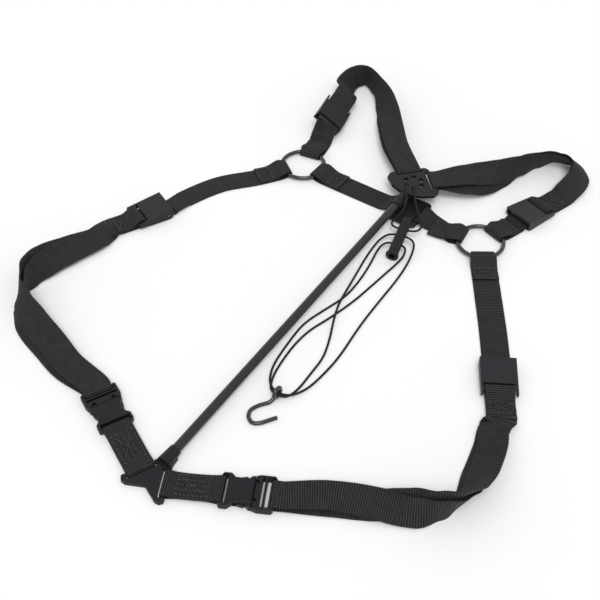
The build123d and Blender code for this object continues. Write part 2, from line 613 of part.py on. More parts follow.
def adjustable_strap(name):
    """One strip: stitched on its ring, through the cam buckle, round the far bar and back."""
    ring, ring_angle, middle = STRAPS[name]
    cam = cam_frame(name)
    roll = CAMS[name][2]
    sewn = SEWN_SHORT if name.startswith("shoulder") else SEWN_LENGTH
    stations = ring_end(ring, ring_angle, roll, sewn)
    flat_roll = 180 if abs(roll) > 90 else 0
    places = [Vector(x, y, FLOOR_LAYER) for x, y in middle]
    if roll:
        places = [p + Vector(0, 0, 7.0) for p in places]
    chain = [stations[-1].at] + places + [cam.point(*cam_passage()[0])]
    for i, place in enumerate(places, start=1):
        along = (chain[i + 1] - chain[i - 1]).normalized()
        lean = flat_roll if not roll else (-180 + roll) / 2
        stations.append(Station(place, across_at(along, lean), WEB_WIDTH))
    stations += cam.stations(cam_passage())
    at, outward = bar_end(name)
    out, back = doubled(DOUBLED[name], cam.x, outward * -1)
    flip = -1 if name.startswith(("waist", "shoulder")) else 1
    normal = Z_AXIS * flip
    across = normal.cross(outward * -1)
    radius = BAR_FOLD
    turn = [(6.5, -radius * 0.9), (2.0, -radius)] + fold(radius)[0:] + [(2.0, radius), (6.5, radius * 0.9)]
    stations += out
    stations += [Station(at + outward * x + normal * z, across, WEB_WIDTH) for x, z in turn]
    stations += list(reversed(back))
    stations += cam.stations([(TAIL_END_X + 4, TAIL_HIGH_Z), (TAIL_END_X + 0.4, TAIL_HIGH_Z)])
    return ribbon(stations)


def cross_strap():
    """The strap between the rings, over the back plate's outer bars and under its middle."""
    left, right = Vector(*RING_LEFT, 0), Vector(*RING_RIGHT, 0)
    span = right - left
    angle = degrees(atan2(span.Y, span.X))
    stations = ring_end(RING_LEFT, angle)
    frame = Frame((BACK_X, BACK_Y, 0), angle)
    slot = BACK_SIZE[0] / 2 - BAR_WIDTH - SLOT_WIDTH / 2
    outer = BACK_SIZE[0] / 2
    top = BACK_BOTTOM_Z + BACK_THICK
    over = top + PLATE_CLEAR + WEB_THICK / 2
    under = BACK_BOTTOM_Z - PLATE_CLEAR - WEB_THICK / 2
    half = [(outer + 10, FLOOR_LAYER + 0.1), (outer + 1.4, over - 0.2), (outer, over + 0.1)]
    half += [(slot + SLOT_WIDTH / 2 + 0.2, over + 0.1), (slot + 0.5, top + 0.4), (slot, (top + BACK_BOTTOM_Z) / 2)]
    half += [(slot - 0.5, BACK_BOTTOM_Z - 0.4), (slot - SLOT_WIDTH / 2 - 0.2, under)]
    stations += frame.stations([(-x, z) for x, z in half])
    stations += frame.stations(list(reversed(half)))
    far_end = list(reversed(ring_end(RING_RIGHT, angle + 180 + CROSS_LEAN)[:-1]))
    stations += [Station(s.at, s.across * -1, s.width) for s in far_end]
    return ribbon(stations)


def o_ring(centre):
    """One O-ring, lying level."""
    return Pos(*centre, RING_Z) * Torus(RING_MEAN_RADIUS, RING_WIRE / 2)


# ---------------------------------------------------------------- cord, slider and hook

SLIDER_A = Vector(*SLIDER_HIGH)
SLIDER_AXIS = (Vector(*SLIDER_LOW) - SLIDER_A).normalized()
SLIDER_LENGTH = (Vector(*SLIDER_LOW) - SLIDER_A).length
SLIDER_SIDE = Z_AXIS.cross(SLIDER_AXIS).normalized()  # towards +X


def slider_point(along, side):
    """A point of the slider: along its axis, and to its side."""
    return SLIDER_A + SLIDER_AXIS * along + SLIDER_SIDE * side


def cord_slider():
    """The slider: a tube with three cross holes that the cord runs through."""
    plane = Plane(origin=SLIDER_A, x_dir=SLIDER_SIDE, z_dir=SLIDER_AXIS)
    body = Pos(0, 0, SLIDER_LENGTH / 2) * Cylinder(SLIDER_OUTER / 2, SLIDER_LENGTH)
    collar = Pos(0, 0, SLIDER_LENGTH - SLIDER_COLLAR_LENGTH / 2) * Cylinder(SLIDER_COLLAR / 2, SLIDER_COLLAR_LENGTH)
    body = chamfer(body.edges(), 0.6) + fillet(collar.edges(), 1.2)
    body -= Pos(0, 0, SLIDER_LENGTH / 2) * Cylinder(SLIDER_BORE / 2, SLIDER_LENGTH + 2)
    for along in SLIDER_HOLES:
        body -= Pos(0, 0, along) * Rot(0, 90, 0) * Cylinder(SLIDER_HOLE_DIAMETER / 2, SLIDER_OUTER + 2)
    return Location(plane) * body


LIE = CORD_DIAMETER / 2 + 0.05  # the height of a cord's middle where it lies on the ground
EYE_Z = HOOK_EYE_RADIUS + HOOK_WIRE / 2
PASS_Z = EYE_Z - 1.0  # the strands' height inside the hook's eye
STRAND = 1.15  # half the distance between the two strands in the eye


def plate_holes():
    """The two holes of the chest plate that the neck cord comes out of, left and right."""
    hole = heading(240) * HOLE_RING_RADIUS
    return (hole.X, PLATE_CENTRE_Y + hole.Y), (-hole.X, PLATE_CENTRE_Y + hole.Y)


def neck_route():
    """The neck cord's route: up from its knot, over the socket, through the slider and back."""
    left, right = plate_holes()
    top = PLATE_BOTTOM_Z + PLATE_THICK + CORD_DIAMETER
    low = PLATE_BOTTOM_Z - 1.0
    route = [(*left, low), (*left, top + 0.4), (-0.8, 390.6, top + 0.8), (4.8, 383.0, top - 0.8)]
    route += [(8.8, 375.0, 15.2), (9.4, 366.6, 11.6), (7.6, 357.6, 9.6), (7.4, 349.0, 9.6)]
    route += [slider_point(SLIDER_HOLES[0], -9.0), slider_point(SLIDER_HOLES[0], 8.6)]
    route += [(36.0, 355.0, 10.0), (33.4, 364.4, 10.0), (25.6, 371.4, 11.0), (18.6, 378.4, 13.4)]
    route += [(12.6, 385.6, 17.6), (8.2, 391.8, top + 0.6), (*right, top + 0.4), (*right, low)]
    return [Vector(*p) for p in route]


def hook_route():
    """The hook cord's route: from the slider twice round through the hook's eye, and back to it."""
    second, third = SLIDER_HOLES[1:]
    eye_x, eye_y = HOOK_EYE
    inside = SLIDER_KNOT / 2 - 0.4
    route = [slider_point(third, inside), slider_point(third, 8.6), (38.4, 322.6, 5.0), (37.4, 312.6, 2.4)]
    route += [(34.6, 296.0, LIE), (31.6, 270.0, LIE), (28.6, 246.0, LIE), (21.5, 216.0, LIE)]
    route += [(15.0, 196.0, LIE), (13.4, 174.0, LIE), (15.2, 153.0, LIE), (18.0, 136.0, LIE)]
    route += [(24.0, 122.5, 3.0), (30.6, eye_y - STRAND, PASS_Z), (37.6, eye_y - STRAND, PASS_Z)]
    route += [(42.4, 122.6, 2.8), (44.2, 136.0, LIE), (43.2, 156.0, LIE), (42.6, 176.0, LIE)]
    route += [(35.4, 197.0, LIE), (28.0, 214.0, 3.2), (20.6, 234.0, 4.1), (17.0, 254.0, 3.3)]
    route += [(12.6, 276.0, LIE), (8.4, 300.0, LIE), (6.6, 318.0, 1.8), (7.8, 329.6, 5.0)]
    route += [slider_point(second, -9.4), slider_point(second, 8.6), (39.4, 339.2, 7.0)]
    route += [(43.0, 329.0, 3.6), (45.8, 312.0, 1.2), (47.6, 288.0, LIE), (47.8, 262.0, LIE)]
    route += [(49.0, 224.0, LIE), (53.6, 184.0, LIE), (52.6, 158.0, LIE), (50.4, 139.0, 1.6)]
    route += [(44.6, 125.0, 3.4), (37.6, eye_y + STRAND, PASS_Z), (30.0, eye_y + STRAND, PASS_Z)]
    route += [(20.4, 126.6, 2.6), (12.6, 141.0, LIE), (9.6, 157.0, LIE), (7.4, 178.0, LIE)]
    route += [(6.2, 200.0, LIE), (13.0, 225.0, LIE), (19.6, 248.0, LIE), (19.4, 272.0, LIE)]
    route += [(16.4, 296.0, LIE), (13.4, 311.0, 2.2), (13.2, 320.4, 5.2)]
    route += [slider_point(third, -8.8), slider_point(third, -inside)]
    return [Vector(*p) for p in route]


def route_radii(points):
    """The largest tangent arc that each corner's two runs allow."""
    radii = []
    for a, b, c in zip(points, points[1:], points[2:]):
        turn = radians((b - a).get_angle(c - b))
        radii.append(0.45 * min((b - a).length, (c - b).length) / tan(turn / 2))
    return radii


def cord(name, points):
    """A cord as one tube along its route."""
    radii = route_radii(points)
    runs = [(b - a).length for a, b in zip(points, points[1:])]
    turns = [(b - a).get_angle(c - b) for a, b, c in zip(points, points[1:], points[2:])]
    path = FilletPolyline(*points, radius=radii)
    section = Plane(origin=points[0], z_dir=points[1] - points[0]) * Circle(CORD_DIAMETER / 2)
    tube = sweep(section, path=path)
    expected = pi * (CORD_DIAMETER / 2) ** 2 * path.length
    print(f"{name} radii:", [round(r, 1) for r in radii])
    print(f"{name} runs:", [round(r, 1) for r in runs])
    print(f"{name} turns:", [round(t) for t in turns])
    print(f"{name} length {path.length:.0f} mm, volume {tube.volume:.0f} of {expected:.0f}")
    return tube


def knot(centre, diameter, flat_top):
    """A stopper knot: a ball, cut level on top where a plate rests on it."""
    ball = Pos(*centre) * Sphere(diameter / 2)
    if flat_top:
        ball -= Pos(0, 0, diameter) * Pos(*centre) * Box(diameter * 2, diameter * 2, diameter * 2 - 1.6)
    return ball


def plate_knots():
    """The two stopper knots under the chest plate."""
    drop = PLATE_BOTTOM_Z - 0.2 - 0.8
    return Compound(children=[knot((x, y, drop), KNOT_DIAMETER, True).solid() for x, y in plate_holes()])


def slider_knot():
    """The knot that joins the hook cord's ends inside the slider's bore."""
    return knot(tuple(slider_point(SLIDER_HOLES[2], 0)), SLIDER_KNOT, False)


def hook():
    """The hook: a standing eye and a J that lies on the ground, bent from one wire."""
    eye = Pos(*HOOK_EYE, EYE_Z) * Rot(0, 90, 0) * Torus(HOOK_EYE_RADIUS, HOOK_WIRE / 2)
    low = HOOK_WIRE / 2 + 0.02
    start = (HOOK_EYE[0] - 0.2, HOOK_EYE[1] - HOOK_EYE_RADIUS, EYE_Z - 2.6)
    points = [start, (32.6, 110.0, low), (26.4, 102.0, low), (23.6, 94.5, low), (26.6, 87.6, low)]
    points += [(33.0, 84.4, low), (38.4, 88.2, low), (46.4, 100.4, low)]
    vectors = [Vector(*p) for p in points]
    path = FilletPolyline(*vectors, radius=route_radii(vectors))
    section = Plane(origin=vectors[0], z_dir=vectors[1] - vectors[0]) * Circle(HOOK_WIRE / 2)
    return eye + sweep(section, path=path)


# ---------------------------------------------------------------- the parts

os.makedirs("parts", exist_ok=True)
save(waist_bracket(), "waist_bracket")
save(rod_tube(), "rod_tube")
save(chest_plate(), "chest_plate")
save(back_plate(), "back_plate")
save(o_ring(RING_LEFT), "ring_left")
save(o_ring(RING_RIGHT), "ring_right")
save(cross_strap(), "cross_strap")
for strap in STRAPS:
    cam = cam_frame(strap)
    save(adjustable_strap(strap), f"strap_{strap}")
    save(cam_tail(cam), f"strap_tail_{strap}")
    save(cam.location * cam_base(), f"cam_base_{strap}")
    save(cam.location * cam_lid(), f"cam_lid_{strap}")
    save(cam.location * cam_pin(), f"cam_pin_{strap}")
for side, word in ((-1, "left"), (1, "right")):
    place = buckle_frame(side).location
    save(tab(side), f"tab_{word}")
    save(place * buckle_female(), f"buckle_socket_{word}")
    save(place * buckle_male(), f"buckle_plug_{word}")
    save(place * buckle_arm(1), f"buckle_arm_upper_{word}")
    save(place * buckle_arm(-1), f"buckle_arm_lower_{word}")
save(cord_slider(), "cord_slider")
save(hook(), "hook")
save(plate_knots(), "plate_knots")
save(slider_knot(), "slider_knot")
save(cord("neck_cord", neck_route()), "neck_cord")
save(cord("hook_cord", hook_route()), "hook_cord")
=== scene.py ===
"""Neck harness for a wind instrument: webbing loops, a rod with two plates, a cord and its hook."""

import logging
import math
from dataclasses import dataclass, field
from enum import Enum

import bmesh
import bpy
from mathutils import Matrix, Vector


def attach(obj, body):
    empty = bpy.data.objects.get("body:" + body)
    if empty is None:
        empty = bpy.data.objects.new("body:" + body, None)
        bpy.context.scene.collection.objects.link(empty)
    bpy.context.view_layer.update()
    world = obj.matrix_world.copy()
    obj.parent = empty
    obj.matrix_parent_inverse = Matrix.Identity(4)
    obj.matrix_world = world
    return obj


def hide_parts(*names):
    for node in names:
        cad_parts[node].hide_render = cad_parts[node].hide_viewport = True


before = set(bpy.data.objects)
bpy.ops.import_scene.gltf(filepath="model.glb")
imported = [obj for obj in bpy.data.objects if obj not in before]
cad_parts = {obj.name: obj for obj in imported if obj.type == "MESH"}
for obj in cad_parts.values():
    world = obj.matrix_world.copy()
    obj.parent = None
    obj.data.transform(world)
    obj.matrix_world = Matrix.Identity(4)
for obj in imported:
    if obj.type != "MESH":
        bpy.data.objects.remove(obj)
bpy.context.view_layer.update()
log = logging.getLogger("harness")

MM = 0.001
WEB_WIDTH = 25.0
WEB_THICK = 1.4
UP = Vector((0, 0, 1))


class Loop(Enum):
    """The four adjustable straps."""

    WAIST_LEFT = "waist_left"
    WAIST_RIGHT = "waist_right"
    SHOULDER_LEFT = "shoulder_left"
    SHOULDER_RIGHT = "shoulder_right"


class Side(Enum):
    """The wearer's two sides."""

    LEFT = "left"
    RIGHT = "right"


# ------------------------------------------------------------------ shader helpers


class NodeWork:
    """Short calls for adding nodes to one shader or geometry tree."""

    def __init__(self, tree: bpy.types.NodeTree) -> None:
        """Keeps the tree that nodes are added to."""
        self.tree = tree

    def add(self, kind: str, **values: object) -> bpy.types.Node:
        """Adds a node.

        Args:
            kind: the node's type name.
            values: attributes to set on it.

        Returns:
            The node.
        """
        node = self.tree.nodes.new(kind)
        for name, value in values.items():
            setattr(node, name, value)
        return node

    def link(self, source: bpy.types.NodeSocket, target: bpy.types.NodeSocket) -> None:
        """Links two sockets."""
        self.tree.links.new(source, target)

    def feed(self, value: object, target: bpy.types.NodeSocket) -> None:
        """Sets a socket to a number, or links a socket to it."""
        if isinstance(value, bpy.types.NodeSocket):
            self.link(value, target)
        else:
            target.default_value = value

    def math(self, operation: str, first: object, second: object = 0.0) -> bpy.types.NodeSocket:
        """Adds a Math node.

        Args:
            operation: the node's operation.
            first: a number or a socket.
            second: a number or a socket.

        Returns:
            Its output.
        """
        node = self.add("ShaderNodeMath", operation=operation)
        self.feed(first, node.inputs[0])
        self.feed(second, node.inputs[1])
        return node.outputs[0]

    def mix(self, factor: object, low: object, high: object) -> bpy.types.NodeSocket:
        """Adds a colour mix.

        Args:
            factor: a number or a socket.
            low: the colour at 0, or a socket.
            high: the colour at 1, or a socket.

        Returns:
            Its output.
        """
        node = self.add("ShaderNodeMix", data_type="RGBA")
        self.feed(factor, node.inputs[0])
        self.feed(low, node.inputs[6])
        self.feed(high, node.inputs[7])
        return node.outputs[2]


def socket(group: bpy.types.NodeTree, name: str, kind: str, output: bool, default: object = None) -> None:
    """Adds a named socket to a node group.

    Args:
        group: the group.
        name: the socket's name.
        kind: its type name.
        output: whether it is an output.
        default: its default value, if it has one.
    """
    made = group.interface.new_socket(name=name, in_out="OUTPUT" if output else "INPUT", socket_type=kind)
    if default is not None:
        made.default_value = default


def surface_wear_group() -> bpy.types.NodeTree:
    """The wear that hard pieces share: soft blotches, fine grain and sparse scuffs.

    Returns:
        A group with Blotch, Grain and Scuff outputs, each from 0 to 1.
    """
    group = bpy.data.node_groups.new("surface_wear", "ShaderNodeTree")
    socket(group, "Grain Scale", "NodeSocketFloat", False, 2400.0)
    socket(group, "Blotch Scale", "NodeSocketFloat", False, 60.0)
    socket(group, "Scuff Amount", "NodeSocketFloat", False, 0.4)
    for name in ("Blotch", "Grain", "Scuff"):
        socket(group, name, "NodeSocketFloat", True)
    work = NodeWork(group)
    given = work.add("NodeGroupInput")
    given_out = work.add("NodeGroupOutput")
    place = work.add("ShaderNodeTexCoord").outputs["Object"]
    blotch = work.add("ShaderNodeTexNoise")
    work.link(place, blotch.inputs["Vector"])
    work.link(given.outputs["Blotch Scale"], blotch.inputs["Scale"])
    blotch.inputs["Detail"].default_value = 3.0
    grain = work.add("ShaderNodeTexNoise")
    work.link(place, grain.inputs["Vector"])
    work.link(given.outputs["Grain Scale"], grain.inputs["Scale"])
    grain.inputs["Detail"].default_value = 2.0
    turn = work.add("ShaderNodeMapping")
    work.link(place, turn.inputs["Vector"])
    turn.inputs["Rotation"].default_value = (0.4, 0.3, 0.7)
    turn.inputs["Scale"].default_value = (1.0, 0.12, 1.0)
    scuff = work.add("ShaderNodeTexNoise")
    work.link(turn.outputs[0], scuff.inputs["Vector"])
    scuff.inputs["Scale"].default_value = 900.0
    scuff.inputs["Detail"].default_value = 1.0
    sharp = work.add("ShaderNodeMapRange", interpolation_type="SMOOTHSTEP")
    work.link(scuff.outputs[0], sharp.inputs["Value"])
    sharp.inputs["From Min"].default_value = 0.62
    sharp.inputs["From Max"].default_value = 0.72
    sparse = work.math("MULTIPLY", sharp.outputs[0], blotch.outputs[0])
    work.link(blotch.outputs[0], given_out.inputs["Blotch"])
    work.link(grain.outputs[0], given_out.inputs["Grain"])
    work.link(work.math("MULTIPLY", sparse, given.outputs["Scuff Amount"]), given_out.inputs["Scuff"])
    return group


def yarn_group() -> bpy.types.NodeTree:
    """The yarns that webbing and cord share, from a UV map in metres.

    Returns:
        A group with Yarn (height), Fuzz (soft variation) and Fleck outputs.
    """
    group = bpy.data.node_groups.new("yarn", "ShaderNodeTree")
    socket(group, "UV", "NodeSocketVector", False)
    socket(group, "Along", "NodeSocketFloat", False, 2600.0)
    socket(group, "Across", "NodeSocketFloat", False, 1600.0)
    for name in ("Yarn", "Fuzz", "Fleck"):
        socket(group, name, "NodeSocketFloat", True)
    work = NodeWork(group)
    given = work.add("NodeGroupInput")
    given_out = work.add("NodeGroupOutput")
    parts = work.add("ShaderNodeSeparateXYZ")
    work.link(given.outputs["UV"], parts.inputs[0])
    along = work.math("MULTIPLY", parts.outputs[0], given.outputs["Along"])
    across = work.math("MULTIPLY", parts.outputs[1], given.outputs["Across"])
    first = work.math("ABSOLUTE", work.math("SINE", across))
    slant = work.math("ABSOLUTE", work.math("SINE", work.math("ADD", along, work.math("MULTIPLY", across, 0.5))))
    yarn = work.math("ADD", work.math("MULTIPLY", first, 0.65), work.math("MULTIPLY", slant, 0.35))
    fuzz = work.add("ShaderNodeTexNoise")
    place = work.add("ShaderNodeTexCoord").outputs["Object"]
    work.link(place, fuzz.inputs["Vector"])
    fuzz.inputs["Scale"].default_value = 130.0
    fuzz.inputs["Detail"].default_value = 4.0
    fleck = work.add("ShaderNodeTexNoise")
    work.link(place, fleck.inputs["Vector"])
    fleck.inputs["Scale"].default_value = 3200.0
    work.link(yarn, given_out.inputs["Yarn"])
    work.link(fuzz.outputs[0], given_out.inputs["Fuzz"])
    work.link(fleck.outputs[0], given_out.inputs["Fleck"])
    return group


WEAR = surface_wear_group()
YARN = yarn_group()


def blank(name: str) -> tuple[bpy.types.Material, NodeWork, bpy.types.Node]:
    """A material with only its shader.

    Args:
        name: the material's name.

    Returns:
        The material, its node work and its Principled shader.
    """
    material = bpy.data.materials.new(name)
    material.use_nodes = True
    material.node_tree.nodes.clear()
    work = NodeWork(material.node_tree)
    shader = work.add("ShaderNodeBsdfPrincipled")
    out = work.add("ShaderNodeOutputMaterial")
    work.link(shader.outputs[0], out.inputs[0])
    return material, work, shader


def scaled(colour: tuple[float, float, float], factor: float) -> tuple[float, float, float, float]:
    """A colour made lighter or darker, with alpha 1."""
    return (colour[0] * factor, colour[1] * factor, colour[2] * factor, 1.0)


@dataclass(frozen=True)
class HardFinish:
    """Moulded plastic, enamel or metal: one colour with blotches, grain and scuffs."""

    name: str
    colour: tuple[float, float, float]
    roughness: float
    metallic: float = 0.0
    coat: float = 0.0
    grain_scale: float = 2400.0
    grain_depth: float = 0.00002
    scuff: float = 0.4
    drawn: bool = False
    specular: float = 0.5

    def build(self) -> bpy.types.Material:
        """Makes the material.

        Returns:
            The material.
        """
        material, work, shader = blank(self.name)
        wear = work.add("ShaderNodeGroup", node_tree=WEAR)
        wear.inputs["Grain Scale"].default_value = self.grain_scale
        wear.inputs["Scuff Amount"].default_value = self.scuff
        base = work.mix(wear.outputs["Blotch"], scaled(self.colour, 0.82), scaled(self.colour, 1.2))
        worn = work.mix(wear.outputs["Scuff"], base, scaled(self.colour, 2.6))
        speck = work.mix(work.math("MULTIPLY", wear.outputs["Grain"], 0.25), worn, scaled(self.colour, 1.7))
        work.link(speck, shader.inputs["Base Color"])
        rough = work.math("ADD", self.roughness - 0.06, work.math("MULTIPLY", wear.outputs["Blotch"], 0.12))
        scuffed = work.math("ADD", rough, work.math("MULTIPLY", wear.outputs["Scuff"], 0.2))
        work.link(scuffed, shader.inputs["Roughness"])
        shader.inputs["Metallic"].default_value = self.metallic
        shader.inputs["Specular IOR Level"].default_value = self.specular
        shader.inputs["Coat Weight"].default_value = self.coat
        shader.inputs["Coat Roughness"].default_value = 0.12
        height = wear.outputs["Grain"]
        if self.drawn:
            stretch = work.add("ShaderNodeMapping")
            work.link(work.add("ShaderNodeTexCoord").outputs["Object"], stretch.inputs["Vector"])
            stretch.inputs["Scale"].default_value = (1.0, 0.02, 1.0)
            lines = work.add("ShaderNodeTexNoise")
            work.link(stretch.outputs[0], lines.inputs["Vector"])
            lines.inputs["Scale"].default_value = 2600.0
            height = lines.outputs[0]
        bump = work.add("ShaderNodeBump")
        bump.inputs["Strength"].default_value = 0.5
        bump.inputs["Distance"].default_value = self.grain_depth
        work.link(height, bump.inputs["Height"])
        work.link(bump.outputs[0], shader.inputs["Normal"])
        return material


@dataclass(frozen=True)
class WovenFinish:
    """Ribbed webbing or braided cord, with painted shade: its grooves get a near-black shade colour and its crests the
    lit colour.
    """

    name: str
    # painted shade: the colour of the hollows between ribs or strands
    groove_shade: tuple[float, float, float]
    # the lit colour of the tops of the ribs or strands
    lit_crest: tuple[float, float, float]
    rib_pitch: float
    along: float = 2600.0
    across: float = 5200.0
    slanted: bool = False
    sheen: float = 0.25

    def build(self) -> bpy.types.Material:
        """Makes the material.

        Returns:
            The material.
        """
        material, work, shader = blank(self.name)
        if self.slanted:
            uv = work.add("ShaderNodeTexCoord").outputs["UV"]
        else:
            uv = work.add("ShaderNodeUVMap", uv_map="UVMap").outputs[0]
        yarn = work.add("ShaderNodeGroup", node_tree=YARN)
        work.link(uv, yarn.inputs["UV"])
        yarn.inputs["Along"].default_value = self.along
        yarn.inputs["Across"].default_value = self.across
        lit_crest = yarn.outputs["Yarn"]
        if not self.slanted:
            parts = work.add("ShaderNodeSeparateXYZ")
            work.link(uv, parts.inputs[0])
            turns = work.math("MULTIPLY", parts.outputs[0], math.pi / self.rib_pitch)
            wave = work.math("ABSOLUTE", work.math("SINE", turns))
            yarns = work.math("ADD", 0.6, work.math("MULTIPLY", lit_crest, 0.4))
            lit_crest = work.math("MULTIPLY", work.math("POWER", wave, 3.0), yarns)
        # Painted shade: the height mask gives the crests the lit colour and leaves the grooves in the shade colour.
        base = work.mix(lit_crest, (*self.groove_shade, 1.0), (*self.lit_crest, 1.0))
        soft = work.mix(work.math("MULTIPLY", yarn.outputs["Fuzz"], 0.5), base, scaled(self.groove_shade, 1.3))
        fleck = work.add("ShaderNodeMapRange")
        work.link(yarn.outputs["Fleck"], fleck.inputs["Value"])
        fleck.inputs["From Min"].default_value = 0.6
        fleck.inputs["From Max"].default_value = 0.8
        flecked = work.mix(work.math("MULTIPLY", fleck.outputs[0], 0.35), soft, scaled(self.lit_crest, 1.9))
        work.link(flecked, shader.inputs["Base Color"])
        work.link(work.math("ADD", 0.56, work.math("MULTIPLY", yarn.outputs["Fuzz"], 0.25)), shader.inputs["Roughness"])
        shader.inputs["Sheen Weight"].default_value = self.sheen
        shader.inputs["Sheen Roughness"].default_value = 0.4
        shader.inputs["Specular IOR Level"].default_value = 0.2
        bump = work.add("ShaderNodeBump")
        bump.inputs["Strength"].default_value = 0.7
        bump.inputs["Distance"].default_value = 0.00012
        work.link(yarn.outputs["Yarn"], bump.inputs["Height"])
        work.link(bump.outputs[0], shader.inputs["Normal"])
        return material


RIB_PITCH = 1.9
CHARCOAL = HardFinish("charcoal_moulding", (0.009, 0.0092, 0.0118), 0.44, specular=0.2, grain_depth=0.00003)
GREY_LID = HardFinish("lid_moulding", (0.0125, 0.013, 0.0158), 0.4, specular=0.25, grain_depth=0.00003)
ROD_FINISH = HardFinish("satin_rod", (0.014, 0.014, 0.0165), 0.34, 0.0, 0.1, scuff=0.25, specular=0.3, grain_depth=0.00001, drawn=True)
RING_ENAMEL = HardFinish("ring_enamel", (0.006, 0.006, 0.007), 0.2, 0.0, 0.6, scuff=0.5, specular=0.4, grain_depth=0.00001)
HOOK_ENAMEL = HardFinish("hook_enamel", (0.008, 0.008, 0.009), 0.24, 0.0, 0.5, scuff=0.5, specular=0.4, grain_depth=0.00001)
DARK_STEEL = HardFinish("dark_steel", (0.16, 0.16, 0.17), 0.32, 1.0, 0.0, scuff=0.3, grain_depth=0.00001)
# Each woven finish's first colour is painted groove shade and its second the lit crest colour.
WEBBING = WovenFinish("ribbed_webbing", (0.0012, 0.0012, 0.0014), (0.058, 0.058, 0.061), RIB_PITCH * MM, sheen=0.05)
CORD_BRAID = WovenFinish("braided_cord", (0.003, 0.003, 0.0035), (0.02, 0.02, 0.022), RIB_PITCH * MM, 1900.0, 18.0, True, 0.04)
THREAD = WovenFinish("sewing_thread", (0.04, 0.04, 0.042), (0.15, 0.15, 0.155), 0.4 * MM, 9000.0, 9000.0, True, 0.1)


# ------------------------------------------------------------------ webbing


@dataclass
class Station:
    """A place on a strip of webbing, in millimetres."""

    at: Vector
    across: Vector
    width: float = WEB_WIDTH


def heading(angle: float) -> Vector:
    """The level direction at an angle in degrees from +X."""
    return Vector((math.cos(math.radians(angle)), math.sin(math.radians(angle)), 0.0))


def across_at(along: Vector, roll: float) -> Vector:
    """The direction across a strip along a line, tilted by roll degrees about it."""
    left = UP.cross(Vector((along.x, along.y, 0.0)).normalized())
    return left * math.cos(math.radians(roll)) + UP * math.sin(math.radians(roll))


class StripFrame:
    """A local frame on a strip's line: x along it, y across it and z through it."""

    def __init__(self, at: Vector, angle: float, roll: float = 0.0) -> None:
        """Places the frame."""
        self.at = Vector(at)
        self.x = heading(angle)
        self.y = across_at(self.x, roll)
        self.z = self.x.cross(self.y)

    def point(self, x: float, z: float, y: float = 0.0) -> Vector:
        """The place of a local point."""
        return self.at + self.x * x + self.y * y + self.z * z

    def stations(self, profile: list[tuple[float, ...]], width: float = WEB_WIDTH) -> list[Station]:
        """Stations from (x, z) points, with an optional width as third."""
        return [Station(self.point(p[0], p[1]), self.y, p[2] if len(p) > 2 else width) for p in profile]


def fold(radius: float, x: float = 0.0, z: float = 0.0, start: float = -90, sweep: float = -180) -> list[tuple[float, float]]:
    """Points of a half-round fold about (x, z)."""
    angles = [math.radians(start + sweep * i / 6) for i in range(7)]
    return [(x + radius * math.cos(a), z + radius * math.sin(a)) for a in angles]


def smooth_line(stations: list[Station], step: float) -> list[Station]:
    """The strip's smooth line through its stations, at even steps.

    Args:
        stations: the strip's stations.
        step: the distance between the points that come back.

    Returns:
        Stations at even steps along the smooth line.
    """
    points = [s.at for s in stations]
    points = [points[0] * 2 - points[1]] + points + [points[-1] * 2 - points[-2]]
    fine: list[Station] = []
    for i in range(1, len(points) - 2):
        p0, p1, p2, p3 = points[i - 1 : i + 3]
        t1 = max((p1 - p0).length, 0.01) ** 0.5
        t2 = t1 + max((p2 - p1).length, 0.01) ** 0.5
        t3 = t2 + max((p3 - p2).length, 0.01) ** 0.5
        a, b = stations[i - 1], stations[i]
        count = max(2, int((p2 - p1).length / step * 1.5))
        for j in range(count):
            part = j / count
            t = t1 + (t2 - t1) * part
            a1 = p0 * ((t1 - t) / t1) + p1 * (t / t1)
            a2 = p1 * ((t2 - t) / (t2 - t1)) + p2 * ((t - t1) / (t2 - t1))
            a3 = p2 * ((t3 - t) / (t3 - t2)) + p3 * ((t - t2) / (t3 - t2))
            b1 = a1 * ((t2 - t) / t2) + a2 * (t / t2)
            b2 = a2 * ((t3 - t) / (t3 - t1)) + a3 * ((t - t1) / (t3 - t1))
            at = b1 * ((t2 - t) / (t2 - t1)) + b2 * ((t - t1) / (t2 - t1))
            ease = part * part * (3 - 2 * part)
            fine.append(Station(at, a.across.lerp(b.across, ease), a.width + (b.width - a.width) * ease))
    fine.append(stations[-1])
    lengths = [0.0]
    for a, b in zip(fine, fine[1:]):
        lengths.append(lengths[-1] + (b.at - a.at).length)
    count = max(4, round(lengths[-1] / step))
    even: list[Station] = []
    j = 0
    for i in range(count + 1):
        want = lengths[-1] * i / count
        while j < len(fine) - 2 and lengths[j + 1] < want:
            j += 1
        part = (want - lengths[j]) / max(lengths[j + 1] - lengths[j], 1e-6)
        a, b = fine[j], fine[j + 1]
        even.append(Station(a.at.lerp(b.at, part), a.across.lerp(b.across, part), a.width + (b.width - a.width) * part))
    return even


